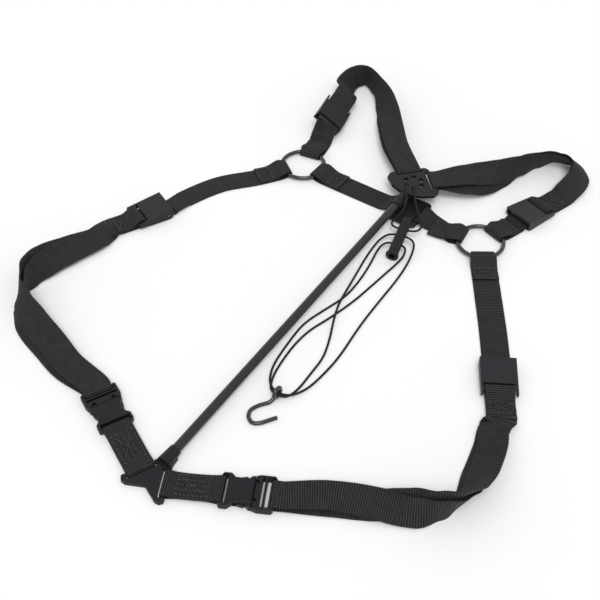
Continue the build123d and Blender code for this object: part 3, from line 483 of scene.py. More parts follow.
def rib_tree() -> bpy.types.NodeTree:
    """The tree that raises ribs on a plain strip and scallops its edges.

    Returns:
        A geometry tree with Rib Depth, Scallop and Material inputs.
    """
    tree = bpy.data.node_groups.new("webbing_ribs", "GeometryNodeTree")
    socket(tree, "Geometry", "NodeSocketGeometry", False)
    socket(tree, "Rib Depth", "NodeSocketFloat", False, 0.0002)
    socket(tree, "Scallop", "NodeSocketFloat", False, 0.0003)
    socket(tree, "Material", "NodeSocketMaterial", False)
    socket(tree, "Geometry", "NodeSocketGeometry", True)
    work = NodeWork(tree)
    given = work.add("NodeGroupInput")
    out = work.add("NodeGroupOutput")

    def read(name: str, kind: str) -> bpy.types.NodeSocket:
        """Reads a point attribute."""
        node = work.add("GeometryNodeInputNamedAttribute", data_type=kind)
        node.inputs["Name"].default_value = name
        return node.outputs["Attribute"]

    wave = work.math("ABSOLUTE", work.math("SINE", work.math("MULTIPLY", read("rib", "FLOAT"), math.pi)))
    dip = work.math("SUBTRACT", work.math("POWER", wave, 0.8), 1.0)
    moved = []
    for name, amount in (("rise", "Rib Depth"), ("edge", "Scallop")):
        scale = work.add("ShaderNodeVectorMath", operation="SCALE")
        work.link(read(name, "FLOAT_VECTOR"), scale.inputs[0])
        work.link(work.math("MULTIPLY", dip, given.outputs[amount]), scale.inputs["Scale"])
        moved.append(scale.outputs[0])
    total = work.add("ShaderNodeVectorMath", operation="ADD")
    work.link(moved[0], total.inputs[0])
    work.link(moved[1], total.inputs[1])
    place = work.add("GeometryNodeSetPosition")
    work.link(given.outputs["Geometry"], place.inputs["Geometry"])
    work.link(total.outputs[0], place.inputs["Offset"])
    real = work.add("GeometryNodeRealizeInstances")
    work.link(place.outputs[0], real.inputs[0])
    dress = work.add("GeometryNodeSetMaterial")
    work.link(real.outputs[0], dress.inputs["Geometry"])
    work.link(given.outputs["Material"], dress.inputs["Material"])
    work.link(dress.outputs[0], out.inputs[0])
    return tree


def stitch_tree() -> bpy.types.NodeTree:
    """The tree that puts one sunk stitch on each point of a row.

    Returns:
        A geometry tree with Length, Width and Material inputs.
    """
    tree = bpy.data.node_groups.new("stitches", "GeometryNodeTree")
    socket(tree, "Geometry", "NodeSocketGeometry", False)
    socket(tree, "Length", "NodeSocketFloat", False, 0.0024)
    socket(tree, "Width", "NodeSocketFloat", False, 0.0007)
    socket(tree, "Material", "NodeSocketMaterial", False)
    socket(tree, "Geometry", "NodeSocketGeometry", True)
    work = NodeWork(tree)
    given = work.add("NodeGroupInput")
    out = work.add("NodeGroupOutput")
    bead = work.add("GeometryNodeMeshUVSphere")
    bead.inputs["Segments"].default_value = 8
    bead.inputs["Rings"].default_value = 6
    bead.inputs["Radius"].default_value = 0.5
    size = work.add("ShaderNodeCombineXYZ")
    work.link(given.outputs["Length"], size.inputs[0])
    work.link(given.outputs["Width"], size.inputs[1])
    work.link(given.outputs["Width"], size.inputs[2])
    shape = work.add("GeometryNodeTransform")
    work.link(bead.outputs["Mesh"], shape.inputs["Geometry"])
    work.link(size.outputs[0], shape.inputs["Scale"])
    turn = None
    for name, axis, pivot in (("facing", "Z", "AUTO"), ("heading", "X", "Z")):
        read = work.add("GeometryNodeInputNamedAttribute", data_type="FLOAT_VECTOR")
        read.inputs["Name"].default_value = name
        align = work.add("FunctionNodeAlignRotationToVector", axis=axis, pivot_axis=pivot)
        work.link(read.outputs["Attribute"], align.inputs["Vector"])
        if turn is not None:
            work.link(turn, align.inputs["Rotation"])
        turn = align.outputs[0]
    rows = work.add("GeometryNodeInstanceOnPoints")
    work.link(given.outputs["Geometry"], rows.inputs["Points"])
    work.link(shape.outputs[0], rows.inputs["Instance"])
    work.link(turn, rows.inputs["Rotation"])
    real = work.add("GeometryNodeRealizeInstances")
    work.link(rows.outputs[0], real.inputs[0])
    dress = work.add("GeometryNodeSetMaterial")
    work.link(real.outputs[0], dress.inputs["Geometry"])
    work.link(given.outputs["Material"], dress.inputs["Material"])
    work.link(dress.outputs[0], out.inputs[0])
    return tree


RIBS = rib_tree()
STITCHES = stitch_tree()


def grown(piece: bpy.types.Object, tree: bpy.types.NodeTree, values: dict[str, object]) -> bpy.types.Object:
    """Runs a geometry tree on a piece and keeps the result as its plain mesh.

    Args:
        piece: the piece.
        tree: the geometry tree.
        values: the tree's inputs by name.

    Returns:
        The same piece.
    """
    modifier = piece.modifiers.new(tree.name, "NODES")
    modifier.node_group = tree
    for item in tree.interface.items_tree:
        if item.item_type == "SOCKET" and item.in_out == "INPUT" and item.name in values:
            modifier[item.identifier] = values[item.name]
    view = bpy.context.evaluated_depsgraph_get()
    view.update()
    mesh = bpy.data.meshes.new_from_object(piece.evaluated_get(view), preserve_all_data_layers=True, depsgraph=view)
    piece.modifiers.clear()
    piece.data = mesh
    mesh.name = piece.name
    return piece


def placed(name: str, mesh: bpy.types.Mesh) -> bpy.types.Object:
    """Links a mesh into the scene as a piece at the origin."""
    piece = bpy.data.objects.new(name, mesh)
    bpy.context.scene.collection.objects.link(piece)
    return piece


SAMPLES = 5  # rows of points in one rib
RIB_DEPTH = 0.00034
SCALLOP = 0.00055
STITCH_WIDTH = 0.0011
FLOOR_CLEAR = 0.04  # a strip's lowest corner stays this far off the floor

# Places across a strip, from edge to edge, and how much of its half thickness each has.
SECTION = (-1.0, -0.975, -0.91, -0.6, -0.2, 0.2, 0.6, 0.91, 0.975, 1.0)
SECTION_RISE = (0.0, 0.62, 0.94, 1.0, 1.0, 1.0, 1.0, 0.94, 0.62, 0.0)


def webbing_strip(name: str, stations: list[Station], material: bpy.types.Material) -> tuple[bpy.types.Object, float]:
    """A ribbed strip of webbing along its stations.

    Args:
        name: the piece's name.
        stations: the strip's stations in millimetres.
        material: its finish.

    Returns:
        The piece, and the strip's length in metres.
    """
    line = smooth_line(stations, RIB_PITCH / SAMPLES)
    verts: list[Vector] = []
    rib: list[float] = []
    rise: list[Vector] = []
    edge: list[Vector] = []
    uvs: list[tuple[float, float]] = []
    zero = Vector((0, 0, 0))
    count = len(SECTION)
    loop = [(SECTION[j], SECTION_RISE[j]) for j in range(count)]
    loop += [(SECTION[j], -SECTION_RISE[j]) for j in range(count - 2, 0, -1)]
    far = 0.0
    for i, station in enumerate(line):
        along = (line[min(i + 1, len(line) - 1)].at - line[max(i - 1, 0)].at).normalized()
        normal = along.cross(station.across).normalized()
        across = normal.cross(along)
        lowest = station.at.z - abs(across.z) * station.width / 2 - abs(normal.z) * WEB_THICK / 2
        if lowest < FLOOR_CLEAR:
            station.at = station.at + UP * (FLOOR_CLEAR - lowest)
        if i:
            far += (station.at - line[i - 1].at).length
        for v, z in loop:
            verts.append((station.at + across * (v * station.width / 2) + normal * (z * WEB_THICK / 2)) * MM)
            rib.append(i / SAMPLES)
            rise.append(normal * (1.0 if z > 0.9 else -1.0) if abs(z) > 0.9 else zero)
            edge.append(across * math.copysign(1.0, v) if abs(v) > 0.95 else zero)
            uvs.append((i / SAMPLES * RIB_PITCH * MM, v * station.width / 2 * MM))
    size = len(loop)
    faces = []
    for i in range(len(line) - 1):
        for j in range(size):
            k = (j + 1) % size
            faces.append((i * size + j, i * size + k, (i + 1) * size + k, (i + 1) * size + j))
    last = (len(line) - 1) * size
    for j in range(1, count - 1):
        top, low = j, (size - j) % size
        before, below = j - 1, (size - j + 1) % size
        quad = [before, below, low, top] if j > 1 else [before, low, top]
        faces.append(tuple(reversed(quad)))
        faces.append(tuple(last + q for q in quad))
    tip = [count - 2, (size - (count - 2)) % size, count - 1]
    faces.append(tuple(reversed(tip)))
    faces.append(tuple(last + q for q in tip))
    mesh = bpy.data.meshes.new(name)
    mesh.from_pydata(verts, [], faces)
    mesh.attributes.new("rib", "FLOAT", "POINT").data.foreach_set("value", rib)
    for label, vectors in (("rise", rise), ("edge", edge)):
        flat = [c for v in vectors for c in v]
        mesh.attributes.new(label, "FLOAT_VECTOR", "POINT").data.foreach_set("vector", flat)
    layer = mesh.uv_layers.new(name="UVMap")
    index = [0] * len(mesh.loops)
    mesh.loops.foreach_get("vertex_index", index)
    layer.data.foreach_set("uv", [c for v in index for c in uvs[v]])
    mesh.shade_smooth()
    outwards(mesh)
    piece = placed(name, mesh)
    grown(piece, RIBS, {"Rib Depth": RIB_DEPTH, "Scallop": SCALLOP, "Material": material})
    return piece, far * MM


def outwards(mesh: bpy.types.Mesh) -> None:
    """Turns a closed mesh's faces outwards."""
    work = bmesh.new()
    work.from_mesh(mesh)
    bmesh.ops.recalc_face_normals(work, faces=work.faces)
    work.to_mesh(mesh)
    work.free()


def stitch_rows(name: str, spots: list[tuple[Vector, Vector, Vector]], material: bpy.types.Material, length: float = 2.4) -> bpy.types.Object:
    """A piece of sewn stitches.

    Args:
        name: the piece's name.
        spots: each stitch's place in millimetres, its heading and its facing.
        material: the thread's finish.
        length: each stitch's length in millimetres.

    Returns:
        The piece.
    """
    mesh = bpy.data.meshes.new(name)
    mesh.from_pydata([s[0] * MM for s in spots], [], [])
    for label, k in (("heading", 1), ("facing", 2)):
        flat = [c for s in spots for c in s[k]]
        mesh.attributes.new(label, "FLOAT_VECTOR", "POINT").data.foreach_set("vector", flat)
    piece = placed(name, mesh)
    return grown(piece, STITCHES, {"Length": length * MM, "Width": STITCH_WIDTH, "Material": material})


def box_stitch(sheet: StripFrame, x0: float, x1: float, z0: float, z1: float, half: float, rows: int) -> list[tuple[Vector, Vector, Vector]]:
    """The stitches of a sewn box: long rows, its two ends and its cross.

    Args:
        sheet: the frame of the sewn face.
        x0: where the box starts.
        x1: where it ends.
        z0: the face's height at its start.
        z1: the face's height at its end.
        half: half of the box's width.
        rows: how many long rows it has.

    Returns:
        The stitches as place, heading and facing.
    """
    facing = sheet.z if sheet.z.z > 0 else sheet.z * -1
    spots = []

    def run(a: tuple[float, float], b: tuple[float, float]) -> None:
        """Adds the stitches between two (x, y) points."""
        start = Vector((a[0], a[1], 0))
        end = Vector((b[0], b[1], 0))
        count = max(2, round((end - start).length / 3.1))
        for i in range(count):
            mid = start.lerp(end, (i + 0.5) / count)
            height = z0 + (z1 - z0) * (mid.x - x0) / max(x1 - x0, 0.01)
            way = end - start
            spots.append((sheet.point(mid.x, height, mid.y), sheet.x * way.x + sheet.y * way.y, facing))

    for i in range(rows):
        y = -half + 2 * half * i / (rows - 1)
        run((x0, y), (x1, y))
    run((x0, -half), (x0, half))
    run((x1, -half), (x1, half))
    run((x0, -half), (x1, half))
    run((x0, half), (x1, -half))
    return spots


# Sizes that the straps take from their rings, bars and cam buckles, in millimetres.
STITCH_START = 13.0  # from the ring's wire to the sewn box
STITCH_HALF = 9.5
RING_MEAN = 22.0
RING_FOLD = 3.05
RING_FOLD_X = 18.9
RING_Z = 3.85
FLOOR_LAYER = 0.75
SECOND_LAYER = 2.45
BAR_FOLD = 2.412
CAM_HALF = 18.0
CAM_WEB_Z = 2.8
CAM_BAR_X = 12.6
TAIL_FOLD = 2.431
TAIL_FOLD_Z = 6.56
TAIL_END_X = 38.0
TAIL_HIGH_Z = 4.15
REST_CLEAR = 0.7


def ring_end(centre: Vector, angle: float, roll: float, sewn: float) -> list[Station]:
    """The stitched end round an O-ring: the tail on top, the fold, and the strap that leaves below."""
    side = -1 if abs(roll) > 90 else 1
    place = StripFrame(Vector((centre.x, centre.y, RING_Z)), angle, 180 if side < 0 else 0)
    tail_x = RING_MEAN + 6 + sewn
    low = (FLOOR_LAYER - RING_Z) * side
    high = (SECOND_LAYER - RING_Z) * side
    profile: list[tuple[float, ...]] = [(tail_x, high), (tail_x - sewn + 8, high), (RING_MEAN + 3, RING_FOLD * side)]
    profile += [(x, z, 22.0) for x, z in fold(RING_FOLD, RING_FOLD_X, 0, 90 * side, 180 * side)]
    profile += [(RING_MEAN + 8, low), (tail_x + 2, low)]
    return place.stations(profile)


@dataclass
class AdjustableStrap:
    """One strap: stitched on its O-ring, through its cam buckle, round its bar and back."""

    loop: Loop
    ring: Vector
    ring_angle: float
    middle: list[tuple[float, float]]
    cam_at: Vector
    cam_angle: float
    cam_roll: float
    bar_at: Vector
    bar_out: Vector
    doubled: list[tuple[float, float, float, float, float, float]]
    sewn: float = 22.0
    flat_length: float = 0.7
    cam: StripFrame = field(init=False)

    def __post_init__(self) -> None:
        """Places the cam buckle's frame."""
        self.cam = StripFrame(self.cam_at, self.cam_angle, self.cam_roll)
        if self.cam_roll:
            self.cam.at = self.cam.point(0, -CAM_WEB_Z)

    def layers(self) -> tuple[list[Station], list[Station]]:
        """The two layers between the cam buckle and the bar.

        Returns:
            The outgoing layer's stations, and the returning layer's.
        """
        middles = []
        for x, y, lift, roll, spread, shift in self.doubled:
            tall = abs(math.sin(math.radians(roll))) * (WEB_WIDTH + abs(shift)) / 2
            deep = abs(math.cos(math.radians(roll))) * (spread + WEB_THICK) / 2
            middles.append(Vector((x, y, lift + tall + deep + REST_CLEAR)))
        out, back = [], []
        for i, (_, _, _, roll, spread, shift) in enumerate(self.doubled):
            before = middles[i - 1] if i else middles[0] - self.cam.x * 20
            after = middles[i + 1] if i + 1 < len(middles) else middles[-1] - self.bar_out * 20
            along = (after - before).normalized()
            across = across_at(along, roll)
            normal = along.cross(across).normalized()
            across = normal.cross(along)
            aside = normal * (spread / 2) + across * (shift / 2)
            out.append(Station(middles[i] - aside, across))
            back.append(Station(middles[i] + aside, across))
        return out, back

    def stations(self) -> list[Station]:
        """The whole strip's stations."""
        strip = ring_end(self.ring, self.ring_angle, self.cam_roll, self.sewn)
        lift = 7.0 if self.cam_roll else 0.0
        places = [Vector((x, y, FLOOR_LAYER + lift)) for x, y in self.middle]
        way = [(-CAM_HALF - 4, FLOOR_LAYER + 0.1), (-CAM_HALF, CAM_WEB_Z), (5.0, CAM_WEB_Z), (12.0, 1.0)]
        way += [(CAM_HALF, FLOOR_LAYER), (TAIL_END_X + 1, FLOOR_LAYER)]
        chain = [strip[-1].at] + places + [self.cam.point(*way[0])]
        lean = (-180 + self.cam_roll) / 2 if self.cam_roll else 0.0
        for i, place in enumerate(places, start=1):
            along = (chain[i + 1] - chain[i - 1]).normalized()
            strip.append(Station(place, across_at(along, lean)))
        strip += self.cam.stations(way)
        out, back = self.layers()
        normal = UP * -1
        across = normal.cross(self.bar_out * -1)
        turn = [(6.5, -BAR_FOLD * 0.9), (2.0, -BAR_FOLD)] + fold(BAR_FOLD) + [(2.0, BAR_FOLD), (6.5, BAR_FOLD * 0.9)]
        strip += out
        strip += [Station(self.bar_at + self.bar_out * x + normal * z, across) for x, z in turn]
        strip += list(reversed(back))
        strip += self.cam.stations([(TAIL_END_X + 4, TAIL_HIGH_Z), (TAIL_END_X + 0.4, TAIL_HIGH_Z)])
        return strip

    def tail(self) -> list[Station]:
        """The stitched end round the lid's bar."""
        profile = [(TAIL_END_X, TAIL_HIGH_Z), (CAM_HALF + 6, TAIL_HIGH_Z), (CAM_BAR_X + 3, TAIL_FOLD_Z + TAIL_FOLD)]
        profile += fold(TAIL_FOLD, CAM_BAR_X, TAIL_FOLD_Z, 90, 180)
        profile += [(CAM_BAR_X + 3, TAIL_FOLD_Z - TAIL_FOLD), (CAM_HALF + 6, SECOND_LAYER), (TAIL_END_X, SECOND_LAYER)]
        return self.cam.stations(profile)

    def build(self, web: bpy.types.Material, thread: bpy.types.Material) -> None:
        """Makes the strap, its tail and their stitches.

        Args:
            web: the webbing's finish.
            thread: the sewing thread's finish.
        """
        name = self.loop.value
        strip, length = webbing_strip(f"webbing_{name}", self.stations(), web)
        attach(strip, "harness")
        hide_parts(f"strap_{name}")
        tail, _ = webbing_strip(f"webbing_tail_{name}", self.tail(), web)
        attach(tail, f"lid_{name}")
        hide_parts(f"strap_tail_{name}")
        base = StripFrame(Vector((self.ring.x, self.ring.y, 0)), self.ring_angle)
        top = SECOND_LAYER + WEB_THICK / 2 - 0.05
        x1 = RING_MEAN + 4 + self.sewn
        spots = box_stitch(base, RING_MEAN + STITCH_START, x1, top, top, STITCH_HALF, 2)
        sewn = stitch_rows(f"ring_stitches_{name}", spots, thread)
        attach(sewn, "harness")
        top = TAIL_HIGH_Z + WEB_THICK / 2
        spots = box_stitch(self.cam, CAM_HALF + 8, TAIL_END_X - 2, top, top, STITCH_HALF, 2)
        sewn = stitch_rows(f"tail_stitches_{name}", spots, thread)
        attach(sewn, f"lid_{name}")
        log.info("strap %s: %.3f m of webbing", name, length)


@dataclass
class CrossStrap:
    """The strap between the two rings, which carries the back plate."""

    left: Vector
    right: Vector
    plate_at: Vector
    plate_width: float = 34.4
    plate_bottom: float = 2.2
    plate_thick: float = 2.4
    clear: float = 0.25
    slot_width: float = 3.4
    bar_width: float = 2.4
    lean: float = 7.0

    def build(self, web: bpy.types.Material, thread: bpy.types.Material) -> None:
        """Makes the strap and its stitches.

        Args:
            web: the webbing's finish.
            thread: the sewing thread's finish.
        """
        span = self.right - self.left
        angle = math.degrees(math.atan2(span.y, span.x))
        strip = ring_end(self.left, angle, 0.0, 22.0)
        middle = StripFrame(self.plate_at, angle)
        slot = self.plate_width / 2 - self.bar_width - self.slot_width / 2
        outer = self.plate_width / 2
        top = self.plate_bottom + self.plate_thick
        over = top + self.clear + WEB_THICK / 2
        under = self.plate_bottom - self.clear - WEB_THICK / 2
        half = [(outer + 10, FLOOR_LAYER + 0.1), (outer + 1.4, over - 0.2), (outer, over + 0.1)]
        half += [(slot + self.slot_width / 2 + 0.2, over + 0.1), (slot + 0.5, top + 0.4), (slot, (top + self.plate_bottom) / 2)]
        half += [(slot - 0.5, self.plate_bottom - 0.4), (slot - self.slot_width / 2 - 0.2, under)]
        strip += middle.stations([(-x, z) for x, z in half])
        strip += middle.stations(list(reversed(half)))
        far = list(reversed(ring_end(self.right, angle + 180 + self.lean, 0.0, 22.0)[:-1]))
        strip += [Station(s.at, s.across * -1, s.width) for s in far]
        piece, length = webbing_strip("webbing_cross", strip, web)
        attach(piece, "harness")
        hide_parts("cross_strap")
        top = SECOND_LAYER + WEB_THICK / 2 - 0.05
        spots = []
        for at, turn in ((self.left, angle), (self.right, angle + 180 + self.lean)):
            place = StripFrame(at, turn)
            spots += box_stitch(place, RING_MEAN + STITCH_START, RING_MEAN + 26, top, top, STITCH_HALF, 2)
        sewn = stitch_rows("cross_stitches", spots, thread)
        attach(sewn, "harness")
        log.info("cross strap: %.3f m of webbing", length)


@dataclass
class StitchedTab:
    """A doubled tab, sewn flat between the waist bracket and a side-release buckle."""

    side: Side
    at: Vector
    angle: float
    reach: float
    width: float = 24.0
    rise: float = 0.688
    plate: float = 0.72

    def build(self, web: bpy.types.Material, thread: bpy.types.Material) -> None:
        """Makes the tab and its stitches.

        Args:
            web: the webbing's finish.
            thread: the sewing thread's finish.
        """
        half = self.plate
        place = StripFrame(self.at, self.angle)
        length = self.reach
        mid = length / 2
        lift = self.rise / 2
        profile = [(mid - 1.2, lift - half), (length - 9, self.rise - half), (length, self.rise - BAR_FOLD)]
        profile += fold(BAR_FOLD, length, self.rise, -90, 180)[1:-1]
        profile += [(length, self.rise + BAR_FOLD), (length - 9, self.rise + half), (9, half), (0, BAR_FOLD)]
        profile += fold(BAR_FOLD, 0, 0, 90, 180)[1:-1]
        profile += [(0, -BAR_FOLD), (9, -half), (mid - 2.0, lift - half)]
        piece, _ = webbing_strip(f"webbing_tab_{self.side.value}", place.stations(profile, self.width), web)
        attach(piece, "harness")
        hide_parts(f"tab_{self.side.value}")
        top = half + WEB_THICK / 2
        spots = box_stitch(place, 8.5, length - 8.5, top + 0.1, top + self.rise + 0.1, 9.0, 5)
        sewn = stitch_rows(f"tab_stitches_{self.side.value}", spots, thread, 2.6)
        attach(sewn, "harness")
        log.info("tab %s", self.side.value)


# ------------------------------------------------------------------ cord


KNOT_RING = 10  # points round the cord in a knot


def stopper_knot(centre: Vector, radius: float, tube: float, flat: float) -> tuple[list[Vector], list[tuple[int, ...]]]:
    """A small pulled-tight knot as a closed tube.

    Args:
        centre: the knot's middle in millimetres.
        radius: its half width.
        tube: the cord's half thickness in it.
        flat: its half height.

    Returns:
        Its vertices in millimetres and its faces.
    """
    around, ring = 72, KNOT_RING
    line = []
    for i in range(around):
        t = 2 * math.pi * i / around
        scale = (radius - tube) / 3.0
        line.append(Vector((
            (math.sin(t) + 2 * math.sin(2 * t)) * scale,
            (math.cos(t) - 2 * math.cos(2 * t)) * scale,
            -math.sin(3 * t) * max(flat - tube, 0.2),
        )))
    verts: list[Vector] = []
    for i in range(around):
        along = (line[(i + 1) % around] - line[i - 1]).normalized()
        side = along.cross(UP).normalized()
        rise = side.cross(along)
        for j in range(ring):
            a = 2 * math.pi * j / ring
            verts.append(centre + line[i] + side * (tube * math.cos(a)) + rise * (tube * math.sin(a)))
    faces = []
    for i in range(around):
        for j in range(ring):
            k, n = (j + 1) % ring, (i + 1) % around
            faces.append((i * ring + j, i * ring + k, n * ring + k, n * ring + j))
    return verts, faces


def knots(name: str, shapes: list[tuple[Vector, float, float, float]], material: bpy.types.Material) -> bpy.types.Object:
    """A piece of one or more stopper knots.

    Args:
        name: the piece's name.
        shapes: each knot's middle, half width, half thickness of cord and half height.
        material: its finish.

    Returns:
        The piece.
    """
    verts: list[Vector] = []
    faces: list[tuple[int, ...]] = []
    for shape in shapes:
        more, made = stopper_knot(*shape)
        faces += [tuple(i + len(verts) for i in face) for face in made]
        verts += more
    mesh = bpy.data.meshes.new(name)
    mesh.from_pydata([v * MM for v in verts], [], faces)
    layer = mesh.uv_layers.new(name="UVMap")
    for loop in mesh.loops:
        around, ring = divmod(loop.vertex_index, KNOT_RING)
        layer.data[loop.index].uv = (around * 0.01, ring * 0.1)
    mesh.shade_smooth()
    outwards(mesh)
    mesh.materials.append(material)
    return placed(name, mesh)


@dataclass
class CordRun:
    """One cord: its route and its real length, in millimetres."""

    name: str
    node: str
    route: list[tuple[float, float, float]]
    length: float
    exit_at: tuple[float, float, float]
    far_end: str
    diameter: float = 2.0

    def build(self, braid: bpy.types.Material, on_it: list[bpy.types.Object]) -> bpy.types.Object:
        """Makes the cord.

        Args:
            braid: its finish.
            on_it: the pieces on it; not used.

        Returns:
            The cord.
        """
        curve = bpy.data.curves.new(self.name, "CURVE")
        curve.dimensions = "3D"
        curve.bevel_depth = self.diameter / 2 * MM
        curve.bevel_resolution = 4
        curve.resolution_u = 12
        curve.use_fill_caps = True
        spline = curve.splines.new("NURBS")
        spline.points.add(len(self.route) - 1)
        for point, place in zip(spline.points, self.route):
            point.co = (place[0] * MM, place[1] * MM, place[2] * MM, 1.0)
        spline.order_u = 3
        spline.use_endpoint_u = True
        curve.materials.append(braid)
        piece = bpy.data.objects.new(self.name, curve)
        bpy.context.scene.collection.objects.link(piece)
        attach(piece, "harness")
        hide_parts(self.node)
        place = tuple(c * MM for c in self.exit_at)
        log.info("cord %s: %.0f mm", self.name, self.length)
        return piece


NECK_ROUTE = [
    (-4.3, 398.1, 13.6), (-4.3, 398.1, 20.5), (-0.8, 390.6, 20.9), (4.8, 383.0, 19.3), (8.8, 375.0, 15.2),
    (9.4, 366.6, 11.6), (7.6, 357.6, 9.6), (7.4, 349.0, 9.6), (13.4, 344.9, 10.2), (30.6, 348.7, 10.2),
    (36.0, 355.0, 10.0), (33.4, 364.4, 10.0), (25.6, 371.4, 11.0), (18.6, 378.4, 13.4), (12.6, 385.6, 17.6),
    (8.2, 391.8, 20.7), (4.3, 398.1, 20.5), (4.3, 398.1, 13.6),
]
LIE = 1.05
HOOK_ROUTE = [
    (28.0, 328.3, 8.1), (34.8, 329.8, 8.1), (38.4, 322.6, 5.0), (37.4, 312.6, 2.4), (34.6, 296.0, LIE),
    (31.6, 270.0, LIE), (28.6, 246.0, LIE), (21.5, 216.0, LIE), (15.0, 196.0, LIE), (13.4, 174.0, LIE),
    (15.2, 153.0, LIE), (18.0, 136.0, LIE), (24.0, 122.5, 3.0), (30.6, 117.65, 5.35), (37.6, 117.65, 5.35),
    (42.4, 122.6, 2.8), (44.2, 136.0, LIE), (43.2, 156.0, LIE), (42.6, 176.0, LIE), (35.4, 197.0, LIE),
    (28.0, 214.0, 3.2), (20.6, 234.0, 4.1), (17.0, 254.0, 3.3), (12.6, 276.0, LIE), (8.4, 300.0, LIE),
    (6.6, 318.0, 1.8), (7.8, 329.6, 5.0), (14.8, 337.1, 9.4), (32.3, 341.0, 9.4), (39.4, 339.2, 7.0),
    (43.0, 329.0, 3.6), (45.8, 312.0, 1.2), (47.6, 288.0, LIE), (47.8, 262.0, LIE), (49.0, 224.0, LIE),
    (53.6, 184.0, LIE), (52.6, 158.0, LIE), (50.4, 139.0, 1.6), (44.6, 125.0, 3.4), (37.6, 119.95, 5.35),
    (30.0, 119.95, 5.35), (20.4, 126.6, 2.6), (12.6, 141.0, LIE), (9.6, 157.0, LIE), (7.4, 178.0, LIE),
    (6.2, 200.0, LIE), (13.0, 225.0, LIE), (19.6, 248.0, LIE), (19.4, 272.0, LIE), (16.4, 296.0, LIE),
    (13.4, 311.0, 2.2), (13.2, 320.4, 5.2), (17.8, 326.0, 8.1), (24.9, 327.6, 8.1),
]


# ------------------------------------------------------------------ hard pieces


@dataclass
class Hardware:
    """The moulded, bent and turned pieces."""

    charcoal: bpy.types.Material
    lid: bpy.types.Material
    rod: bpy.types.Material
    ring: bpy.types.Material
    hook: bpy.types.Material
    steel: bpy.types.Material

    def finish_of(self, node: str) -> bpy.types.Material:
        """The finish of one node."""
        if node.startswith("cam_lid"):
            return self.lid
        if node.startswith("cam_pin"):
            return self.steel
        if node.startswith("ring_"):
            return self.ring
        return {"rod_tube": self.rod, "hook": self.hook}.get(node, self.charcoal)

    def build(self) -> None:
        """Dresses every hard node with its finish."""
        for name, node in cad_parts.items():
            material = self.finish_of(name)
            if not node.material_slots:
                node.data.materials.append(material)
            for held in node.material_slots:
                held.material = material
            log.info("piece %s: %s", name, material.name)


# ------------------------------------------------------------------ studio


@dataclass
class Studio:
    """The floor, the lights and the camera."""

    eye: Vector
    target: Vector
    lens: float = 60.84

    def floor(self) -> None:
        """A plain pale floor."""
        mesh = bpy.data.meshes.new("floor")
        mesh.from_pydata([(-30, -30, 0), (30, -30, 0), (30, 30, 0), (-30, 30, 0)], [], [(0, 1, 2, 3)])
        material, _, shader = blank("pale_floor")
        shader.inputs["Base Color"].default_value = (0.97, 0.97, 0.97, 1)
        shader.inputs["Roughness"].default_value = 0.9
        mesh.materials.append(material)
        placed("floor", mesh)

    def lights(self) -> None:
        """Soft even light from all round, and a broad lamp from the upper left."""
        world = bpy.data.worlds.new("studio")
        bpy.context.scene.world = world
        world.use_nodes = True
        sky = world.node_tree.nodes["Background"]
        sky.inputs["Color"].default_value = (1, 1, 1, 1)
        work = NodeWork(world.node_tree)
        ray = work.add("ShaderNodeLightPath")
        seen = work.math("MAXIMUM", ray.outputs["Is Camera Ray"], ray.outputs["Is Glossy Ray"])
        seen = work.math("MAXIMUM", seen, ray.outputs["Is Transmission Ray"])
        work.link(work.math("ADD", 0.62, work.math("MULTIPLY", seen, 0.38)), sky.inputs["Strength"])
        lamp = bpy.data.lights.new("broad_lamp", "SUN")
        lamp.energy = 1.5
        lamp.angle = math.radians(30)
        holder = bpy.data.objects.new("broad_lamp", lamp)
        holder.rotation_euler = Vector((0.35, -0.45, 1.0)).to_track_quat("Z", "Y").to_euler()
        bpy.context.scene.collection.objects.link(holder)

    def camera(self) -> None:
        """The camera at its place."""
        lens = bpy.data.cameras.new("view")
        lens.lens = self.lens
        lens.sensor_width = 36.0
        lens.clip_start = 0.01
        holder = bpy.data.objects.new("view", lens)
        holder.location = self.eye * MM
        holder.rotation_euler = (self.target - self.eye).to_track_quat("-Z", "Y").to_euler()
        bpy.context.scene.collection.objects.link(holder)
        bpy.context.scene.camera = holder
        bpy.context.scene.view_settings.view_transform = "Standard"


# ------------------------------------------------------------------ the harness

RING_LEFT = Vector((-116.7, 382.7, 0.0))
RING_RIGHT = Vector((88.6, 379.5, 0.0))


